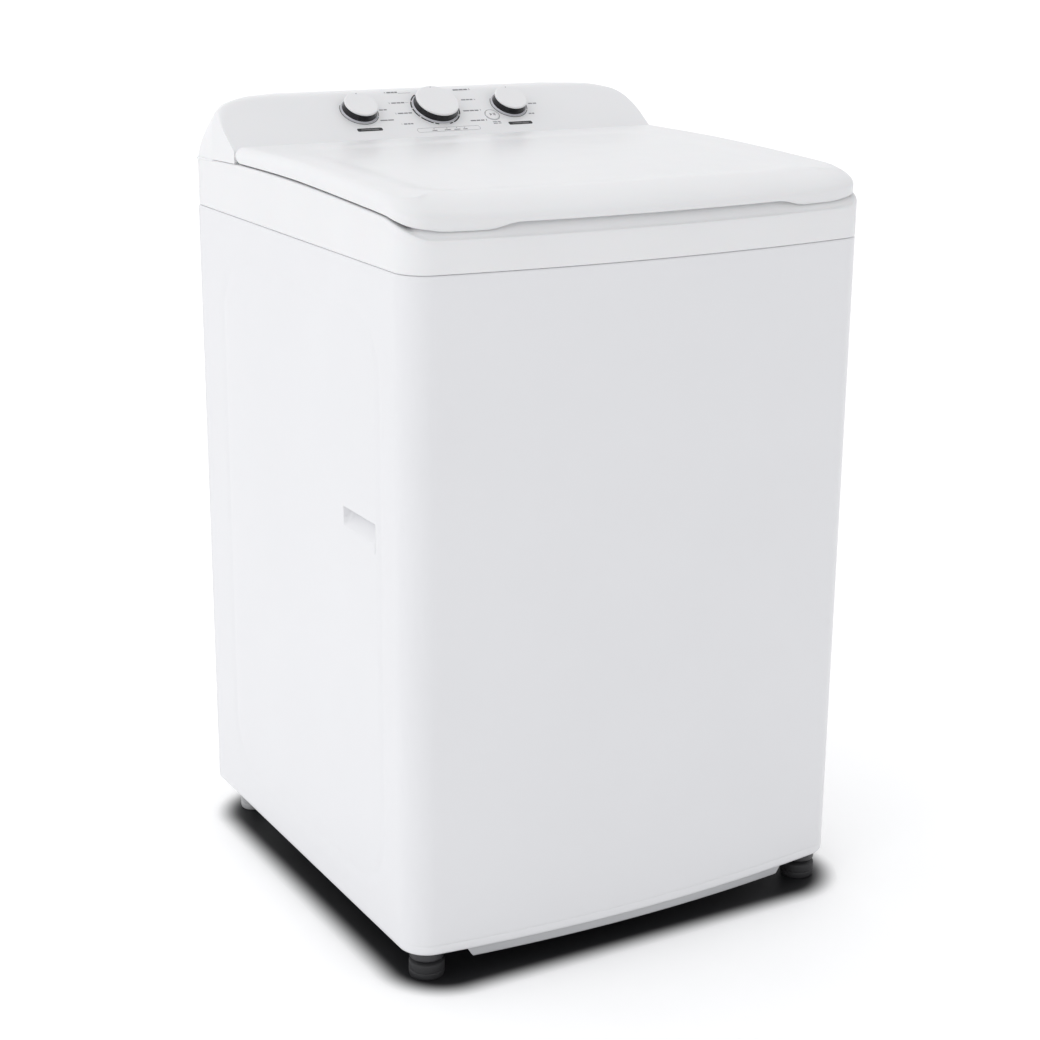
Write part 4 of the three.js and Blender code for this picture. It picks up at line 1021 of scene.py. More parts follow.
def lid_inner():
    """Inner panel of the lid: a shallow pan with two pressed frames, hinge barrels and rubber buffers."""
    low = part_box("lid_inner")[0].z
    high = low + 17 * MM
    flange = dict(half=335 * MM, front=-266 * MM, back=180 * MM, corner=20 * MM, rear=20 * MM, bow=STRAIGHT)
    rings = [at_height(loop(**flange), high + MM), at_height(loop(**flange, inset=0.6 * MM), high),
             at_height(pan_outline(-2.2), high)]
    pressed = [(-0.8, 16.6), (0, 15.4), (0.6, 9), (1.6, 3), (3, 1), (6, 0), (22, 0), (26, 1.8), (38, 1.8),
               (42, 0), (64, 0), (68, 2.4), (74, 2.4)]
    for inset, rise in pressed:
        rings.append(at_height(pan_outline(inset), low + rise * MM))
    middle = np.array([0, -40 * MM])
    for share in (0.35, 0.7, 0.98):
        rings.append(at_height(pan_outline(74) * (1 - share) + middle * share, low + 2.4 * MM))
    points, faces = stacked(rings)
    faces.append(tuple(range(len(points) - len(rings[-1]), len(points))))
    panel = mesh_object("lid_pan", points, faces, LID_WHITE, sharp=50, tidy=False)
    give(solidify(panel, 1.8 * MM, offset=1), "lid", ["lid_inner"])
    barrel_section = mm([(3.3, -6.4), (6.6, -6.4), (7, -6), (7, 6), (6.6, 6.4), (3.3, 6.4)])
    for side, name in SIDES:
        barrel = turned(f"lid_barrel_{name}", barrel_section, LID_WHITE, 40, closed=True)
        give(aimed(barrel, (side * BARREL_X, HINGE_Y, HINGE_Z), (1, 0, 0)), "lid")
        arm = block(f"lid_arm_{name}", (side * BARREL_X - 6 * MM, 172 * MM, low + 17.4 * MM),
                    (side * BARREL_X + 6 * MM, HINGE_Y - 5 * MM, low + 24 * MM), LID_WHITE)
        give(bevel(arm, 0.8 * MM), "lid")
    for x in (-210, 210):
        pad = turned_form("lid_buffer", [(0, -3.2), (6, -3.2), (7.5, 0.4), (7.5, 2), (0, 2)], 1, RUBBER, 32,
                          axis=(x * MM, -246 * MM))
        give(place(pad, Matrix.Translation((0, 0, low + MM))), "lid")


lid_inner()

# ---------------------------------------------------------------- back of the machine


INLETS = (("hot", -146, MARK_RED), ("cold", -94, MARK_BLUE))
INLET_Z = 1042 * MM


def screw(name, at, towards, radius=4.2, body="cabinet"):
    """A pan head screw with a cross recess, whose head stands towards a direction."""
    head = turned(name, mm([(0, 0.9), (radius * 0.3, 1.9), (radius * 0.62, 1.75), (radius * 0.9, 1.1),
                            (radius, 0.3), (radius, -0.4), (0, -0.4)]), ZINC, 24)
    arms = [block("slot", (-a * MM, -b * MM, 0.6 * MM), (a * MM, b * MM, 2.4 * MM), ZINC)
            for a, b in ((radius * 0.55, 0.45), (0.45, radius * 0.55))]
    carve(head, *arms)
    return give(aimed(head, at, towards), body)


def louvres(columns, half, heights, tall, material):
    """Cutter for rows of slots through the rear, in millimetres."""
    slots = [block("louvre", ((x - half) * MM, 330 * MM, z * MM),
                   ((x + half) * MM, 360 * MM, (z + tall) * MM), material) for x in columns for z in heights]
    return merged("louvres", slots)


def rear_panel():
    """Pressed sheet: two sunk fields with ribs between them, louvres, and screws down its edges."""
    low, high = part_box("rear_panel")
    columns = (-180, -60, 60, 180)
    screws = mm([(x, z) for x in (-331, 331) for z in (70, 285, 500, 715, 915)])
    xs = stations(low.x, high.x, 9 * MM, 2.2 * MM, [x for x, _ in screws], 9 * MM)
    zs = stations(low.z, high.z, 9 * MM, 2.2 * MM, [z for _, z in screws], 9 * MM)
    gx, gz = np.meshgrid(xs, zs)
    depth = np.zeros_like(gx)

    def field(box, radius, sink):
        out = past_core(gx, gz, mm([box])[0], radius * MM)
        return sink * MM * (1 - step(out, (radius - 14) * MM, radius * MM))

    for z0, z1 in ((225, 500), (530, 850)):
        depth += field((-285, 285, z0, z1), 45, 5)
    for x in columns:
        for z0, z1 in ((265, 465), (570, 700)):
            depth -= field((x - 18, x + 18, z0, z1), 17.9, 3)
    for x, z in screws:
        depth += 2.4 * MM * (1 - step(np.hypot(gx - x, gz - z), 5 * MM, 8.5 * MM))
    points = np.column_stack([gx.ravel(), (high.y - depth).ravel(), gz.ravel()])
    faces = grid_faces(len(zs), len(xs), flip=True)
    panel = mesh_object("rear_sheet", points, faces, PAINT, sharp=50, tidy=False)
    solidify(panel, 1.2 * MM)
    cutters = [louvres(columns, 32, range(730, 820, 14), 4, PAINT)]
    for node, radius in (("drain_port", 23), ("cord_gland", 9)):
        x, _, z = centre(node)
        hole = turned("port_cut", mm([(0, -30), (radius, -30), (radius, 30), (0, 30)]), PAINT, 48)
        cutters.append(aimed(hole, (x, BACK, z), (0, 1, 0)))
    carve(panel, *cutters)
    give(panel, "cabinet", ["rear_panel"])
    for i, (x, z) in enumerate(screws):
        screw(f"rear_screw_{i + 1}", (x, BACK - 2.2 * MM, z), (0, 1, 0))


def console_back():
    """Sheet cover behind the console, with the recess of the water inlets."""
    low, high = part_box("console_rear_cover")
    x0, x1, z0, z1 = -172 * MM, -68 * MM, 1020 * MM, 1064 * MM
    sheet = block("console_sheet", (low.x, BACK - 1.6 * MM, low.z), (high.x, BACK - 0.3 * MM, high.z), ZINC)
    window = block("window", (x0, BACK - 9 * MM, z0), (x1, BACK + 9 * MM, z1), ZINC)
    carve(sheet, window, louvres((40, 110, 180), 26, (1032, 1042, 1052, 1062), 3.4, ZINC))
    tray = block("inlet_recess", (x0 - 1.5 * MM, low.y, z0 - 1.5 * MM),
                 (x1 + 1.5 * MM, BACK - 0.5 * MM, z1 + 1.5 * MM), ZINC)
    room = block("room", (x0, low.y + 1.5 * MM, z0), (x1, BACK + 9 * MM, z1), ZINC)
    hole = mm([(0, -30), (13.6, -30), (13.6, 20), (0, 20)])
    holes = [aimed(turned("hole", hole, ZINC, 40), (x * MM, low.y, INLET_Z), (0, 1, 0)) for _, x, _ in INLETS]
    carve(tray, room, *holes)
    back = merged("console_back_sheet", [sheet, tray])
    bake(bevel(back, 0.35 * MM, segments=1))
    give(back, "cabinet", ["console_rear_cover"])
    for i, (x, z) in enumerate(((-260, 1071), (-30, 1050), (260, 1071))):
        screw(f"console_screw_{i + 1}", (x * MM, BACK - 1.9 * MM, z * MM), (0, 1, 0), 3.6)


def inlet_valve():
    """Twin solenoid valve: a body, two threaded inlets with strainers and marked rings, and two coils."""
    low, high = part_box("inlet_valve")
    body = block("valve_body", (low.x, 283 * MM, 1024 * MM), (high.x, 316.5 * MM, 1056 * MM), INNER_WHITE)
    give(bevel(body, 2.4 * MM, 3), "cabinet", ["inlet_valve"])
    thread = [(10, -0.6), (12.2, -0.6), (12.2, 6)]
    for turn in range(9):
        thread += [(12.2, 7.2 + turn * 2.2), (13, 7.9 + turn * 2.2), (12.2, 8.9 + turn * 2.2)]
    thread += [(12.2, 28), (11.6, 29), (10, 29), (10, 4), (0, 4), (0, 3), (10, 3)]
    mesh_dome = mm([(0, 14), (3, 13.6), (6, 12), (8.5, 8), (9, 4.5), (9.7, 4.2)])
    for name, x, mark in INLETS:
        inlet = turned(f"inlet_{name}", mm(thread), INNER_WHITE, 48)
        collar = turned_ring(f"inlet_ring_{name}", [(12, 2.4), (13.3, 2.4), (13.3, 5.6), (12, 5.6)], 0.3,
                             mark)
        strainer = turned(f"inlet_strainer_{name}", mesh_dome, HOSE_GREY, 32)
        for piece, slot in ((inlet, "grey_plastic"), (collar, None), (strainer, None)):
            give(aimed(piece, (x * MM, 316 * MM, INLET_Z), (0, 1, 0)), "cabinet")
        coil = turned_form(f"valve_coil_{name}", [(0, 0), (13, 0), (13, 19), (0, 19)], [0, 2, 2, 0],
                           DARK_PLASTIC, 40)
        give(aimed(coil, (x * MM, 284 * MM, 1041 * MM), (0, -1, 0)), "cabinet")
    nozzle = turned_ring("valve_nozzle", [(6, 984), (9, 984), (9, 1025), (6, 1025)], 0.6, INNER_WHITE, 32,
                         axis=(-120 * MM, 296 * MM))
    give(nozzle, "cabinet")


def ports():
    """Drain outlet and power lead inlet on the rear panel."""
    outlet = turned_ring("drain_outlet", [
        (14, 297), (18.6, 297), (18.6, 340), (30, 340), (30, 345), (20.5, 345), (19, 346.8), (14, 346.8)],
        0.5, DARK_PLASTIC, 64)
    gland = turned_ring("cord_inlet", [
        (4, 325), (8.4, 325), (8.4, 346), (7.6, 346.8), (5.6, 346.8), (4, 345.2)], 0.4, DARK_PLASTIC, 40)
    nut = turned("cord_inlet_nut", mm([(8.2, 339), (14, 339), (14, 345), (8.2, 345)]), DARK_PLASTIC, 6,
                 closed=True)
    bevel(nut, 0.5 * MM)
    for piece, node, replaced in ((outlet, "drain_port", True), (gland, "cord_gland", True),
                                  (nut, "cord_gland", False)):
        x, _, z = centre(node)
        give(aimed(piece, (x, 0, z), (0, 1, 0)), "cabinet", [node] if replaced else ())


rear_panel()
console_back()
inlet_valve()
ports()

# ---------------------------------------------------------------- outer tub


def outer_tub():
    """Hooped tub with floor ribs, four lugs for the rods, the sump spigot and the shaft seal."""
    hoops = []
    for z in (340, 455, 570, 685, 780):
        hoops += [(285, z - 4), (288, z - 2.5), (288, z + 2.5), (285, z + 4)]
    outside = [(31, 228), (230, 228), (270, 240), (285, 262), *hoops, (285, 858), (293, 864), (293, 868)]
    inside = [(281, 868), (281, 264), (267, 244), (229, 232), (31, 232)]
    radii = [1] * 2 + [5] * 2 + [1] * (len(hoops) + 3) + [1, 5, 5, 1, 1]
    wall = turned_ring("tub_moulding", outside + inside, radii, TUB_PLASTIC, 96)
    give(wall, "tub", ["outer_tub"])
    floor_rib = block("rib", (62 * MM, -1.6 * MM, 220 * MM), (228 * MM, 1.6 * MM, 228.6 * MM), TUB_PLASTIC)
    give(bevel(around("tub_floor_ribs", floor_rib, 18, 0.12), 0.5 * MM), "tub")
    for name in CORNERS:
        rod_x, rod_y, _ = centre(f"suspension_rod_{name}")
        reach, turn = math.hypot(rod_x, rod_y), Matrix.Rotation(math.atan2(rod_y, rod_x), 4, "Z")
        root = 283 * MM
        arm = [(root, -26 * MM), (reach - 26 * MM, -19 * MM), *arc((reach, 0), 19.5 * MM, -1.5, 1.5, 14),
               (reach - 26 * MM, 19 * MM), (root, 26 * MM)]
        lug = prism(f"tub_lug_{name}", arm, 420.2 * MM, 432 * MM, TUB_PLASTIC)
        eye = turned("eye", mm([(0, 410), (7, 410), (7, 440), (0, 440)]), TUB_PLASTIC, 32, axis=(reach, 0))
        bevel(carve(lug, eye), 1.2 * MM, 2)
        gusset = plate("rib", mm([(0, 0), (62, 44), (62, 46), (0, 46)]), 2.6 * MM, TUB_PLASTIC)
        place(gusset, Matrix.Translation((284 * MM, 0, 375 * MM)))
        for piece in (lug, gusset):
            give(place(piece, turn), "tub")
    spigot = turned_ring("tub_sump", [
        (15, 202), (17.8, 202), (17.8, 206), (18.4, 208), (17.4, 211), (17.8, 230), (15, 230)], 0.5,
        TUB_PLASTIC, 40, axis=PUMP_AXIS)
    give(spigot, "tub")
    seal = turned_ring("tub_shaft_seal", [
        (16.8, 227), (30.6, 227), (30.6, 237), (24, 237), (22, 233), (19.5, 237), (16.8, 236)], 0.8, RUBBER)
    give(seal, "tub")


def tub_cover():
    ring = turned_ring("tub_ring", [
        (222, 876.3), (262, 868.3), (294, 868.3), (294, 872.3), (264, 872.3), (226, 880.3), (226, 888.3),
        (222, 888.3)], [2, 3, 0.8, 0.8, 3, 3, 1, 1], TUB_PLASTIC, 96)
    give(ring, "tub", ["tub_cover"])
    rib = plate("rib", mm([(230, 879), (262, 872.6), (290, 872), (290, 873.6), (262, 877), (230, 883)]), MM,
                TUB_PLASTIC)
    give(around("tub_ring_ribs", rib, 24), "tub")


outer_tub()
tub_cover()

# ---------------------------------------------------------------- basket


def perforated_wall():
    """Basket wall: round dimples with holes, in staggered rows, with a plain band after each six columns."""
    radius, low, high = 258 * MM, 305 * MM, 849 * MM
    columns, rows = 84, 26
    pitch, rise = 2 * math.pi / columns, (high - low) / rows
    hole = 3.6 * MM
    cell = [(1, 0), (1, 1), (0, 1), (-1, 1), (-1, 0), (-1, -1), (0, -1), (1, -1)]
    circle = arc((0, 0), hole, 0, 2 * math.pi, 9)[:-1]
    points, faces = [], []

    def on_wall(angle, z, sunk=0.0):
        return ((radius + sunk) * math.cos(angle), (radius + sunk) * math.sin(angle), z)

    for c in range(columns):
        for r in range(rows):
            angle, z = (c + 0.5) * pitch, low + (r + 0.5) * rise
            start = len(points)
            points += [on_wall(angle + u * pitch / 2, z + v * rise / 2) for u, v in cell]
            if c % 7 == 6 or (r + c) % 2:
                faces.append(tuple(range(start, start + 8)))
                continue
            for scale, sunk in ((1.9, 0.0), (1.15, 0.9 * MM), (1.0, 1.3 * MM)):
                points += [on_wall(angle + scale * a / radius, z + scale * b, sunk) for a, b in circle]
            for level in range(3):
                a, b = start + 8 * level, start + 8 * (level + 1)
                for k in range(8):
                    n = (k + 1) % 8
                    faces.append((a + k, a + n, b + n, b + k))
    wall = mesh_object("basket_wall", points, faces, STAINLESS, sharp=60)
    return give(solidify(wall, 0.9 * MM), "basket", ["basket_shell"])


def basket_floor():
    beads = [(90, 274), (94, 276), (104, 276), (108, 274), (150, 274), (154, 276), (166, 276), (170, 274)]
    top = [(40, 274), *beads, (200, 274), (245, 284), (257, 305), (257.8, 306)]
    under = [(r, z - 1.4) for r, z in top[::-1]]
    rounding = [0.5] + [2] * 8 + [8, 12, 3, 0.3]
    floor = turned_ring("basket_floor", top + under, rounding + rounding[::-1], STAINLESS, 96)
    give(floor, "basket")


def balance_ring():
    ring = turned_ring("balance_ring_moulding", [
        (228, 806), (255.7, 806), (255.7, 850.3), (258, 850.3), (258, 856), (232, 856), (228, 852)],
        [5, 2, 0.3, 0.5, 2.5, 6, 6], INNER_WHITE, 96)
    give(ring, "basket", ["balance_ring"])
    weld = turned_ring("balance_ring_weld", [(246, 855.6), (250, 855.6), (250, 856.9), (246, 856.9)], 0.4,
                       INNER_WHITE, 96)
    give(weld, "basket")


perforated_wall()
basket_floor()
balance_ring()

# ---------------------------------------------------------------- agitator


def agitator_base():
    """Bell shaped foot with four tall vanes."""
    outline = [(9.3, 290), (22, 290), (22, 346), (56, 366), (90, 326), (158, 288), (163, 288), (163, 292),
               (94, 330), (64, 372), (60, 392), (56.5, 392), (56.5, 372), (9.3, 350)]
    rounding = [0.5, 0.5, 3, 12, 30, 2, 1, 2, 40, 20, 1, 0.6, 3, 0.5]
    bell = turned_ring("agitator_bell", outline, rounding, INNER_WHITE, 96, steps=7)
    give(bell, "agitator", ["agitator_base"])
    side = fillet([(58, 366), (92, 326), (152, 292), (160, 296), (157, 310), (128, 348), (84, 376),
                   (62, 384)], [2, 8, 3, 4, 8, 20, 14, 4], steps=5, closed=True)
    vanes = around("agitator_vanes", plate("vane", mm(side), 3.7 * MM, INNER_WHITE, sharp=40), 4)
    give(bevel(vanes, 2 * MM, 3, angle=50), "agitator")


def auger():
    """Column with two helical fins that fade out at its foot and top."""
    foot, top = (corner.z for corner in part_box("agitator_auger"))
    around_one = np.concatenate([np.linspace(-0.3, 0.3, 25), np.linspace(0.3, math.pi - 0.3, 20)[1:-1]])
    angles = np.concatenate([around_one, around_one + math.pi])
    from_fin = np.abs((angles + math.pi / 2) % math.pi - math.pi / 2)
    rings = []
    for rise in np.linspace(0, 1, 90):
        wall = 59 - 6 * rise
        tip = 5 + (29 - 4 * rise) * step(rise, 0.02, 0.1) * (1 - step(rise, 0.92, 0.99))
        fin = 1 - step(from_fin, 0.05, 0.13)
        hollow = 2.5 * (1 - step(from_fin, 0.1, 0.34))
        radius = (wall + np.maximum(fin * tip, hollow * tip / 34)) * MM
        turn = 1.75 * 2 * math.pi * rise
        z = np.full(len(angles), foot + (top - foot) * rise)
        rings.append(np.column_stack([radius * np.cos(turn + angles), radius * np.sin(turn + angles), z]))
    unit = np.column_stack([np.cos(angles), np.sin(angles)])
    bore = [(49, top), (40, top), (39, top - 1.5 * MM), (39, top - 26 * MM), (43, foot + 8 * MM), (44, foot)]
    for radius, z in bore:
        rings.append(at_height(unit * radius * MM, z))
    points, faces = stacked(rings, close=True)
    column = mesh_object("agitator_column", points, faces, INNER_WHITE, sharp=50)
    give(column, "agitator", ["agitator_auger"])


def softener_cup():
    cup = turned_form("rinse_cup", [
        (0, 670.3), (35, 670.3), (37, 700.3), (52, 700.3), (55, 762.3), (30, 768.3), (30, 765.3), (52, 759.3),
        (50, 703.3), (34, 703.3), (32, 673.3), (0, 673.3)],
        [0, 3, 2, 3, 5, 1, 1, 3, 2, 2, 2, 0], CUP_BLUE, 72)
    give(cup, "softener_cup", ["softener_cup"])
    fin = plate("fin", mm([(52.4, 704), (54.4, 758), (53, 758), (51, 704)]), 1.6 * MM, CUP_BLUE)
    give(bevel(around("rinse_cup_grips", fin, 24), 0.5 * MM), "softener_cup")


agitator_base()
auger()
softener_cup()

# ---------------------------------------------------------------- suspension and drive


def springs():
    """Coil spring on each rod, which the tub's lug presses down."""
    wire, coil_radius = 1.9 * MM, 16.5 * MM
    turns = np.linspace(0, 7, 200)
    angle = 2 * math.pi * turns
    for name in CORNERS:
        low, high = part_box(f"suspension_spring_{name}")
        x, y, _ = centre(f"suspension_spring_{name}")
        lift = (high.z - low.z - 2 * wire) * np.clip((turns - 0.9) / 5.2, 0, 1)
        path = np.column_stack([x + coil_radius * np.cos(angle), y + coil_radius * np.sin(angle),
                                low.z + wire + lift])
        coil = sweep(f"coil_spring_{name}", path, wire, STEEL, sides=10)
        give(coil, "cabinet", [f"suspension_spring_{name}"])
        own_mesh(coil)


def motor():
    """Motor can with its fins, the winding between them and the mounting plate."""
    x, y, _ = centre("motor")
    can = turned_form("motor_can", [
        (6.5, 128), (30, 128), (34, 133), (62, 133), (62, 150), (60, 151), (60, 196), (62, 197), (62, 212),
        (6.5, 212)], [0.5, 2, 2, 3, 0.5, 0.5, 0.5, 0.5, 1, 0.5], MOTOR_BLACK, 72, axis=(x, y))
    give(can, "tub", ["motor"])
    fin = block("fin", (59.5 * MM, -1.2 * MM, 152 * MM), (61.8 * MM, 1.2 * MM, 195 * MM), MOTOR_BLACK)
    fins = place(around("motor_fins", fin, 36), Matrix.Translation((x, y, 0)))
    give(fins, "tub")
    winding = turned_ring("motor_winding", [(40, 151), (59, 151), (59, 196), (40, 196)], 4, COPPER,
                          axis=(x, y))
    give(winding, "tub")
    mount = prism("motor_mount", rounded_box(-78 * MM, 78 * MM, y - 18 * MM, y + 18 * MM, 8 * MM),
                  211.8 * MM, 223.6 * MM, ZINC)
    give(bevel(mount, 0.8 * MM), "tub")


def gearcase():
    """Ribbed casting with a ring of bolts in its flange."""
    case = turned_ring("gearcase_casting", [
        (28.6, 150), (56, 150), (76, 162), (76, 213.7), (95, 213.7), (95, 223.6), (28.6, 223.6)],
        [1, 4, 6, 3, 1.5, 1, 1], CAST, 72)
    give(case, "tub", ["gearcase"])
    rib = plate("rib", mm([(72, 168), (77, 168), (92, 214.5), (72, 214.5)]), 2 * MM, CAST)
    give(bevel(around("gearcase_ribs", rib, 10, 0.3), 0.6 * MM), "tub")
    bolt_circle = 86 * MM
    for i in range(6):
        angle = math.pi / 3 * i + math.pi / 6
        at = (bolt_circle * math.cos(angle), bolt_circle * math.sin(angle), 213.4 * MM)
        screw(f"gearcase_bolt_{i + 1}", at, (0, 0, -1), 5, "tub")


def drive_pulley():
    """Grooved wheel with six holes in its web."""
    groove = [(75, 98), (75, 100), (66.5, 102.5), (66.5, 111.5), (75, 114), (75, 116)]
    web = [(58, 116), (56, 109), (20, 109), (18, 116), (9.3, 116), (9.3, 98), (18, 98), (20, 105), (56, 105),
           (58, 98)]
    rounding = [0.8] * 6 + [1.5] * 3 + [1, 0.5, 0.5, 1] + [1.5] * 3
    wheel = turned_ring("drive_wheel", groove + web, rounding, CAST, 96)
    hole = turned("hole", mm([(0, 90), (12, 90), (12, 120), (0, 120)]), CAST, 32, axis=(38 * MM, 0))
    carve(wheel, around("holes", hole, 6))
    give(wheel, "agitator", ["drive_pulley"])


def drain():
    """Pump with its motor, sump hose and outlet, and the corrugated drain hose with its clamps."""
    body = turned_form("pump_body", [
        (0, 112), (38, 112), (42, 116), (42, 164), (36, 170), (17, 172), (17, 201.6), (15, 201.6), (15, 160),
        (0, 160)], [0, 2, 4, 4, 3, 5, 0.5, 0.3, 0.3, 0], HOSE_GREY, 56, axis=PUMP_AXIS)
    give(body, "tub", ["drain_pump"])
    outlet = turned_ring("pump_outlet", [(9, 34), (12, 34), (12, 96), (12.8, 97.5), (12, 100), (9, 100)], 0.5,
                         HOSE_GREY, 40)
    give(aimed(outlet, (*PUMP_AXIS, 140 * MM), (0, 1, 0)), "tub")
    cap = turned_form("pump_motor", [(0, 100.5), (26, 100.5), (30, 104), (30, 113), (0, 113)],
                      [0, 3, 3, 1, 0], DARK_PLASTIC, axis=PUMP_AXIS)
    give(cap, "tub")
    bracket = block("pump_bracket", (-124 * MM, -60 * MM, 158 * MM), (-102 * MM, -20 * MM, 223.6 * MM),
                    HOSE_GREY)
    give(bevel(bracket, 2 * MM), "tub")

    route = mm([(-160, 60.5, 140), (-160, 120, 140), (-180, 195, 143), (-205, 250, 150), (-205, 296.5, 150)])
    bend = np.array(fillet(route, 45 * MM, steps=14))
    along = np.concatenate([[0], np.cumsum(np.linalg.norm(np.diff(bend, axis=0), axis=1))])
    at = np.linspace(0, along[-1], int(along[-1] / (1.25 * MM)))
    path = np.column_stack([np.interp(at, along, bend[:, k]) for k in range(3)])
    fold, cuff = 5.4 * MM, 16 * MM
    radii = (12.9 + 1.0 * np.sin(at / fold * 2 * math.pi)) * MM
    ends = np.minimum(at, along[-1] - at) < cuff
    hose = sweep("drain_hose_corrugated", path, np.where(ends, 13.8 * MM, radii), HOSE_GREY, sides=24)
    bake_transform(hose)
    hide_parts("drain_hose")
    for name, owner, spot in (("pump", "tub", 8), ("port", "cabinet", -9)):
        clamp = turned_ring(f"hose_clamp_{name}", [(13.7, -4), (14.6, -4), (14.6, 4), (13.7, 4)], 0.3, ZINC,
                            40)
        give(aimed(clamp, path[spot], path[spot] - path[spot - 1]), owner)


def pressure_tube():
    """Thin tube from the level sensor down to the tub's wall."""
    route = mm([(235, 300, 1054), (235, 300, 1062), (262, 306, 1060), (300, 318, 1010), (306, 322, 900),
                (300, 318, 500), (262, 262, 330), (214, 214, 300), (200, 200, 300)])
    tube = sweep("pressure_tube", np.array(fillet(route, 30 * MM, steps=8)), 3 * MM, RUBBER, sides=10)
    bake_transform(tube)


def board_parts():
    """Relays, capacitors and connectors on the control board."""
    board_top = -20.2
    fitted = [(-92, 60, 22, 15, 14, DARK_PLASTIC), (-64, 60, 16, 12, 12, DARK_PLASTIC),
              (-60, 82, 12, 10, 9, RAIL_GREY), (52, 82, 30, 9, 9, RAIL_GREY),
              (60, 60, 16, 16, 3, DARK_PLASTIC), (-92, 84, 26, 8, 9, RAIL_GREY),
              (-60, 42, 9, 9, 12, DARK_PLASTIC)]
    parts = []
    for x, y, w, h, tall, material in fitted:
        outline = rounded_box((x - w / 2) * MM, (x + w / 2) * MM, (y - h / 2) * MM, (y + h / 2) * MM, MM)
        parts.append(prism("part", outline, board_top * MM, (tall + board_top) * MM, material))
    give(on_face(merged("board_components", parts)), "cabinet")


springs()
motor()
gearcase()
drive_pulley()
drain()
pressure_tube()
board_parts()

# ---------------------------------------------------------------- feet and toe rail


def feet():
    """Levelling feet: black rubber in sockets at the front, smaller and grey at the rear."""
    for corner in CORNERS:
        node = f"foot_{corner}"
        x, y, _ = centre(node)
        front = "front" in corner
        pad, neck = (24, 15) if front else (19, 13)
        foot = turned_form(f"{node}_leveller", [
            (0, 0.4), (pad - 5, 0.4), (pad - 5, 0), (pad - 1, 0), (pad, 4), (pad, 9), (pad - 1, 10),
            (pad, 11), (pad, 21.5), (neck, 25.5), (neck, 36), (6, 36), (6, 78), (5, 80), (0, 80)],
            [0, 0.2, 0.2, 2, 2, 0.4, 0.4, 0.4, 2.5, 1, 1, 1, 1, 1, 0], RUBBER if front else GREY_PLASTIC,
            axis=(x, y))
        give(foot, node, [node])
        if front:
            cup = turned_form(f"{node}_socket", [(16.5, 43), (16.5, 27), (22.5, 27), (23.6, 29), (23.6, 43)],
                              [0, 0.5, 1.5, 1.5, 0], DARK_PLASTIC, axis=(x, y))
            give(cup, "cabinet")


def toe_rail():
    """Curved rail under the front, a channel open to the rear with slanted ends."""
    low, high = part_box("front_base_rail")
    foot, top = low.z / MM, high.z / MM
    section = fillet([(30, top - 2.5), (30, top), (16, top), (16, foot), (24, foot), (24, foot + 2.5),
                      (18.5, foot + 2.5), (18.5, top - 2.5)],
                     [0.5, 0.5, 3, 3.5, 0.5, 0.5, 1.5, 1.5], closed=True)
    middle = FRONT + BOW_RADIUS
    rings = []
    for share in np.linspace(-1, 1, 49):
        ring = []
        for inset, z in section:
            x = share * (high.x - 14 * MM * (1 - (z - foot) / (top - foot)))
            radius = BOW_RADIUS - inset * MM
            ring.append((x, middle - math.sqrt(radius ** 2 - x ** 2), z * MM))
        rings.append(ring)
    points, faces = stacked(rings)
    count = len(section)
    faces += [tuple(range(count)), tuple(range(len(points) - count, len(points)))]
    give(mesh_object("toe_rail", points, faces, RAIL_GREY), "cabinet", ["front_base_rail"])


feet()
toe_rail()

# ---------------------------------------------------------------- nodes shown as they are in the frame

FINISH = {
    "base_frame": ZINC, "water_spout": INNER_WHITE, "pressure_sensor": DARK_PLASTIC, "control_board": BOARD,
    "lid_lock": DARK_PLASTIC, "lid_lock_bolt": STEEL, "lid_strike": ZINC, "drive_plate": ZINC,
    "main_bearing": STEEL, "drive_belt": RUBBER, "basket_hub": CAST, "spin_tube": STEEL,
    "agitator_shaft": STEEL, "motor_pulley": STEEL,
}
for _, side in SIDES:
    FINISH[f"lid_hinge_pin_{side}"] = STEEL
for corner in CORNERS:
    FINISH[f"corner_bracket_{corner}"] = ZINC
    FINISH[f"suspension_rod_{corner}"] = STEEL

for node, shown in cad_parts.items():
    if shown.hide_render:
        continue
    shown.data.materials.clear()
    shown.data.materials.append(FINISH[node])
    shown.data.shade_smooth()
    shown.data.set_sharp_from_angle(angle=math.radians(32))
    bevel(shown, 0.4 * MM)

# ---------------------------------------------------------------- studio


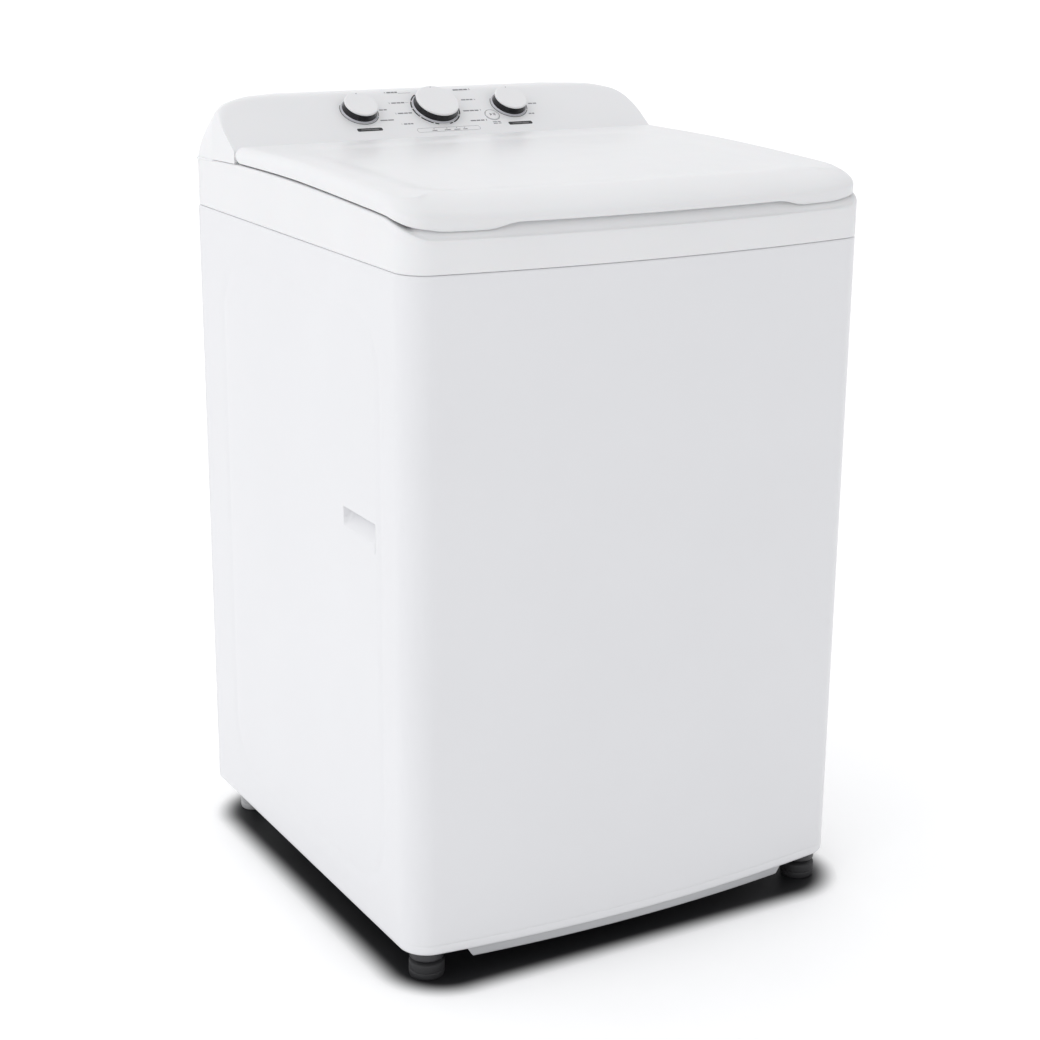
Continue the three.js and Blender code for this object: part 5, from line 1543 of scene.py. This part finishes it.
def floor_material():
    """White sweep with a painted contact shadow: near-black colour painted on the floor under the cabinet's
    footprint, fading back to white past its edges.
    """
    material = make_material("floor", (0.93, 0.93, 0.93), 0.6, tone=0.004, grain=50, bump=0.0)
    nodes, links = material.node_tree.nodes, material.node_tree.links

    def maths(operation, a, b=None):
        made = nodes.new("ShaderNodeMath")
        made.operation = operation
        for slot, value in zip(made.inputs, (a, b)):
            if isinstance(value, bpy.types.NodeSocket):
                links.new(value, slot)
            elif value is not None:
                slot.default_value = value
        return made.outputs["Value"]

    split = nodes.new("ShaderNodeSeparateXYZ")
    links.new(nodes.new("ShaderNodeTexCoord").outputs["Object"], split.inputs["Vector"])
    inner, soft = 270 * MM, 75 * MM
    across = maths("MAXIMUM", maths("SUBTRACT", maths("ABSOLUTE", split.outputs["X"]), inner), 0.0)
    along = maths("MAXIMUM", maths("SUBTRACT", maths("ABSOLUTE", split.outputs["Y"]), inner), 0.0)
    away = maths("SQRT", maths("ADD", maths("MULTIPLY", across, across), maths("MULTIPLY", along, along)))
    shadow_fade = nodes.new("ShaderNodeMapRange")
    shadow_fade.interpolation_type = "SMOOTHSTEP"
    shadow_fade.inputs["From Min"].default_value = soft * 0.85
    shadow_fade.inputs["From Max"].default_value = soft * 1.45
    links.new(away, shadow_fade.inputs["Value"])
    # Painted shadow: the floor's colour and its glow turn near black under the cabinet's footprint and fade
    # back to white past its edges.
    painted_shadow = nodes.new("ShaderNodeMix")
    painted_shadow.data_type = "RGBA"
    painted_shadow.inputs["A"].default_value = (0.004, 0.004, 0.005, 1)
    shader = nodes["Principled BSDF"]
    links.new(shadow_fade.outputs["Result"], painted_shadow.inputs["Factor"])
    links.new(shader.inputs["Base Color"].links[0].from_socket, painted_shadow.inputs["B"])
    links.new(painted_shadow.outputs["Result"], shader.inputs["Base Color"])
    links.new(painted_shadow.outputs["Result"], shader.inputs["Emission Color"])
    socket(shader, "Emission Strength", 0.14)
    return material


def studio_world():
    """Soft white surround, dimmer towards the front right, and plain white where the camera sees it."""
    world = bpy.data.worlds.new("studio")
    bpy.context.scene.world = world
    world.use_nodes = True
    nodes, links = world.node_tree.nodes, world.node_tree.links
    background = nodes["Background"]
    background.inputs["Color"].default_value = (0.985, 0.988, 1.0, 1)
    lean = nodes.new("ShaderNodeVectorMath")
    lean.operation = "DOT_PRODUCT"
    lean.inputs[1].default_value = (-0.76, 0.55, 0.2)
    links.new(nodes.new("ShaderNodeTexCoord").outputs["Generated"], lean.inputs[0])
    level = nodes.new("ShaderNodeMapRange")
    level.inputs["From Min"].default_value = -1
    level.inputs["To Min"].default_value = 0.75
    level.inputs["To Max"].default_value = 1.23
    links.new(lean.outputs["Value"], level.inputs["Value"])
    backdrop = nodes.new("ShaderNodeMath")
    backdrop.operation = "MULTIPLY_ADD"
    backdrop.inputs[1].default_value = 0.27
    links.new(nodes.new("ShaderNodeLightPath").outputs["Is Camera Ray"], backdrop.inputs[0])
    links.new(level.outputs["Result"], backdrop.inputs[2])
    links.new(backdrop.outputs["Value"], background.inputs["Strength"])


def soft_light(name, at, towards, size, power):
    light = bpy.data.lights.new(name, "AREA")
    light.shape = "RECTANGLE"
    light.size, light.size_y = size
    light.energy = power
    lamp = bpy.data.objects.new(name, light)
    lamp.location = at
    lamp.rotation_euler = (Vector(towards) - Vector(at)).to_track_quat("-Z", "Y").to_euler()
    bpy.context.scene.collection.objects.link(lamp)


def studio():
    reach = 60.0
    corners = [(-reach, -reach, 0), (reach, -reach, 0), (reach, reach, 0), (-reach, reach, 0)]
    mesh_object("studio_floor", corners, [(0, 1, 2, 3)], floor_material(), tidy=False)
    studio_world()
    soft_light("left_softbox", (-3.2, -0.3, 1.7), (0, 0, 0.6), (2.6, 2.4), 7)
    soft_light("top_softbox", (-0.4, 0.4, 4.2), (0, 0, 0.9), (3.4, 3.4), 8)


def camera():
    """Camera at the photograph's viewing angle."""
    eye = (-1.4242, -2.4743, 1.3785)
    yaw, pitch, roll = -0.522, -0.296, 0.009
    forward = Vector((-math.sin(yaw) * math.cos(pitch), math.cos(yaw) * math.cos(pitch), math.sin(pitch)))
    right = Vector((math.cos(yaw), math.sin(yaw), 0))
    up = right.cross(forward)
    turned_right = right * math.cos(roll) + up * math.sin(roll)
    turned_up = up * math.cos(roll) - right * math.sin(roll)
    data = bpy.data.cameras.new("photo_view")
    data.sensor_width = 36
    data.lens = 71.3
    data.clip_end = 60
    cam = bpy.data.objects.new("photo_view", data)
    turn = Matrix((turned_right, turned_up, -forward)).transposed().to_4x4()
    cam.matrix_world = Matrix.Translation(eye) @ turn
    bpy.context.scene.collection.objects.link(cam)
    bpy.context.scene.camera = cam
    bpy.context.scene.view_settings.view_transform = "Standard"


studio()
camera()
